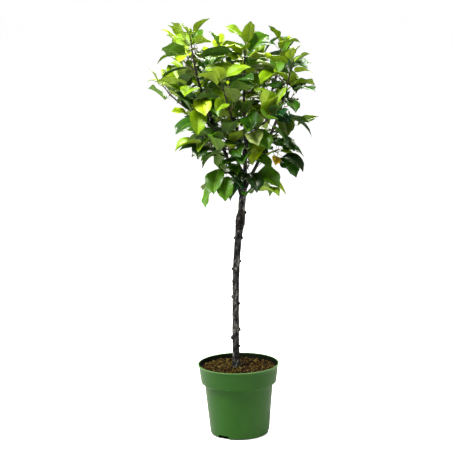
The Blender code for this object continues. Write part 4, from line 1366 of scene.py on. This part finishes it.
def make_foliage(limbs, shoots, leaves):
    """Every leaf, petiole, twig and bud, joined by kind."""
    rng = random.Random(TINT_SEED)
    fine_twigs, fine_leaves = grow_fine(limbs, shoots, leaves)
    tops = {name: Maker() for name, *_ in TINTS}
    stalks, wood, green_wood, buds = Maker(), Maker(), Maker(), Maker()
    for mass in MASSES:
        leader, *twigs = shoots[mass.name]
        for shoot in (leader, *twigs):
            points = shoot.points
            line = [points[0] - (points[1] - points[0]).normalized() * 0.002] + points[1:]
            if shoot is leader:
                wood.add(*limb_tube(line, [radius * LEADER_GIRTH for radius in shoot.radii], 8, 24))
            else:
                green_wood.add(*limb_tube(line, shoot.radii, 8, 12, 0.0004))
            buds.add(*end_bud(shoot, SHOOT_BUD))
            if shoot is leader and mass.age < TIP_MOST_AGE:
                for leaf in tip_leaves(shoot, rng):
                    tint = "lime" if rng.random() < 0.4 else "downy"
                    tops[tint].add(*blade(leaf, rng))
    for twig in fine_twigs:
        green_wood.add(*limb_tube(twig.points, twig.radii, 6, 7, 0.0003))
        buds.add(*end_bud(twig, FINE_BUD))
    turning = min(fine_leaves, key=lambda leaf: (leaf.joint - Vector(OCHRE_PLACE)).length)
    for leaf in [leaf for group in leaves.values() for leaf in group] + fine_leaves:
        age = min(1.0, max(0.0, (leaf.length / LEAF_LENGTH - 0.55) / 0.45))
        tint = choose_tint(rng, leaf_station(leaf, 0.5)[0].z, age)
        if leaf is turning:
            tint = "ochre"
        tops[tint].add(*blade(leaf, rng))
        stalks.add(*stalk(leaf))
        rise = (leaf.joint - leaf.root).normalized()
        buds.add(*bud(leaf.root + rise * 0.0012, (rise + UP * 0.8).normalized(), *SIDE_BUD))
    pieces = []
    for name, upper, lower, through, rough in TINTS:
        if tops[name].faces:
            pale = tuple(int(c * 0.55 + r * 0.45) for c, r in zip(upper, RIB_GREEN))
            looks = (("upper", upper, rough, 0.20), ("lower", lower, 0.62, 0.26), ("rib", pale, 0.5, 0.12))
            skins = [leaf_material(f"leaf_{name}_{face}", through, *look) for face, *look in looks]
            pieces.append((tops[name], f"leaves_{name}", skins))
    pieces += [
        (stalks, "leaf_stalks", [twig_material("stalk_green", (118, 140, 44), 0.5)]),
        (wood, "leaders", [twig_material("leader_bark", (56, 40, 36), 0.6)]),
        (green_wood, "side_twigs", [twig_material("twig_bark", (84, 76, 38), 0.6)]),
        (buds, "buds", [twig_material("bud_scale", (100, 62, 44), 0.6)]),
    ]
    for maker, name, skins in pieces:
        ride(maker.build(name, skins), "foliage", *[mass.name for mass in MASSES])


# --- Stage, light and camera ---


def seen_by_camera(tree):
    return add_node(tree, "ShaderNodeLightPath", {}).outputs["Is Camera Ray"]


def make_stage():
    """A pale floor, bright enough to the camera to meet the white background without an edge."""
    floor = bpy.data.meshes.new("floor")
    corners = [(x * FLOOR_HALF, y * FLOOR_HALF, 0) for x, y in ((-1, -1), (1, -1), (1, 1), (-1, 1))]
    floor.from_pydata(corners, [], [(0, 1, 2, 3)])
    made, tree, shader = new_material("pale_floor")
    set_surface(tree, shader, (0.80, 0.80, 0.80, 1.0), 0.9, 0.1)
    glow = math_node(tree, "MULTIPLY", seen_by_camera(tree), FLOOR_GLOW)
    feed(tree, shader, {"Emission Color": (1, 1, 1, 1), "Emission Strength": glow})
    floor.materials.append(made)
    plane = add_object("floor", floor)
    plane.location = (0, 0, -0.0005)


def area_light(name, place, target_height, size, power, colour):
    """A rectangular lamp that faces a height on the Z axis."""
    lamp = bpy.data.lights.new(name, "AREA")
    lamp.shape = "RECTANGLE"
    lamp.size, lamp.size_y = size
    lamp.energy = power
    lamp.color = colour
    made = add_object(name, lamp)
    made.location = place
    made.rotation_euler = (UP * target_height - Vector(place)).to_track_quat("-Z", "Y").to_euler()


def make_lights():
    """White to the camera, a dimmer white sky for the light, and four lamps."""
    world = bpy.data.worlds.new("studio")
    bpy.context.scene.world = world
    world.use_nodes = True
    tree = world.node_tree
    sky = feed(tree, tree.nodes["Background"], {"Color": (1, 1, 1, 1), "Strength": AMBIENT})
    white = add_node(tree, "ShaderNodeBackground", {"Color": (1, 1, 1, 1), "Strength": 1.0})
    blend_shaders(tree, seen_by_camera(tree), sky.outputs[0], white.outputs[0], "World Output")
    for lamp in LAMPS:
        area_light(*lamp)


def make_camera():
    data = bpy.data.cameras.new("photo_camera")
    data.sensor_width = SENSOR
    data.lens = FOCAL_PIXELS / IMAGE_SIZE * SENSOR
    made = add_object("photo_camera", data)
    pitch = radians(CAMERA_PITCH)
    roll = radians(CAMERA_ROLL)
    ahead = Vector((0, cos(pitch), -sin(pitch)))
    up = Vector((0, sin(pitch), cos(pitch)))
    right = Vector((1, 0, 0))
    tilted_up = leaning(up, right, roll)
    tilted_right = leaning(right, -up, roll)
    turn = Matrix((tilted_right, tilted_up, -ahead)).transposed().to_4x4()
    turn.translation = Vector(CAMERA_PLACE)
    made.matrix_world = turn
    bpy.context.scene.camera = made


def main():
    limbs, shoots, leaves = grow_tree()
    make_pot()
    make_soil()
    make_bark(limbs)
    make_foliage(limbs, shoots, leaves)
    make_stage()
    make_lights()
    make_camera()
    bpy.context.scene.view_settings.view_transform = "Standard"


main()
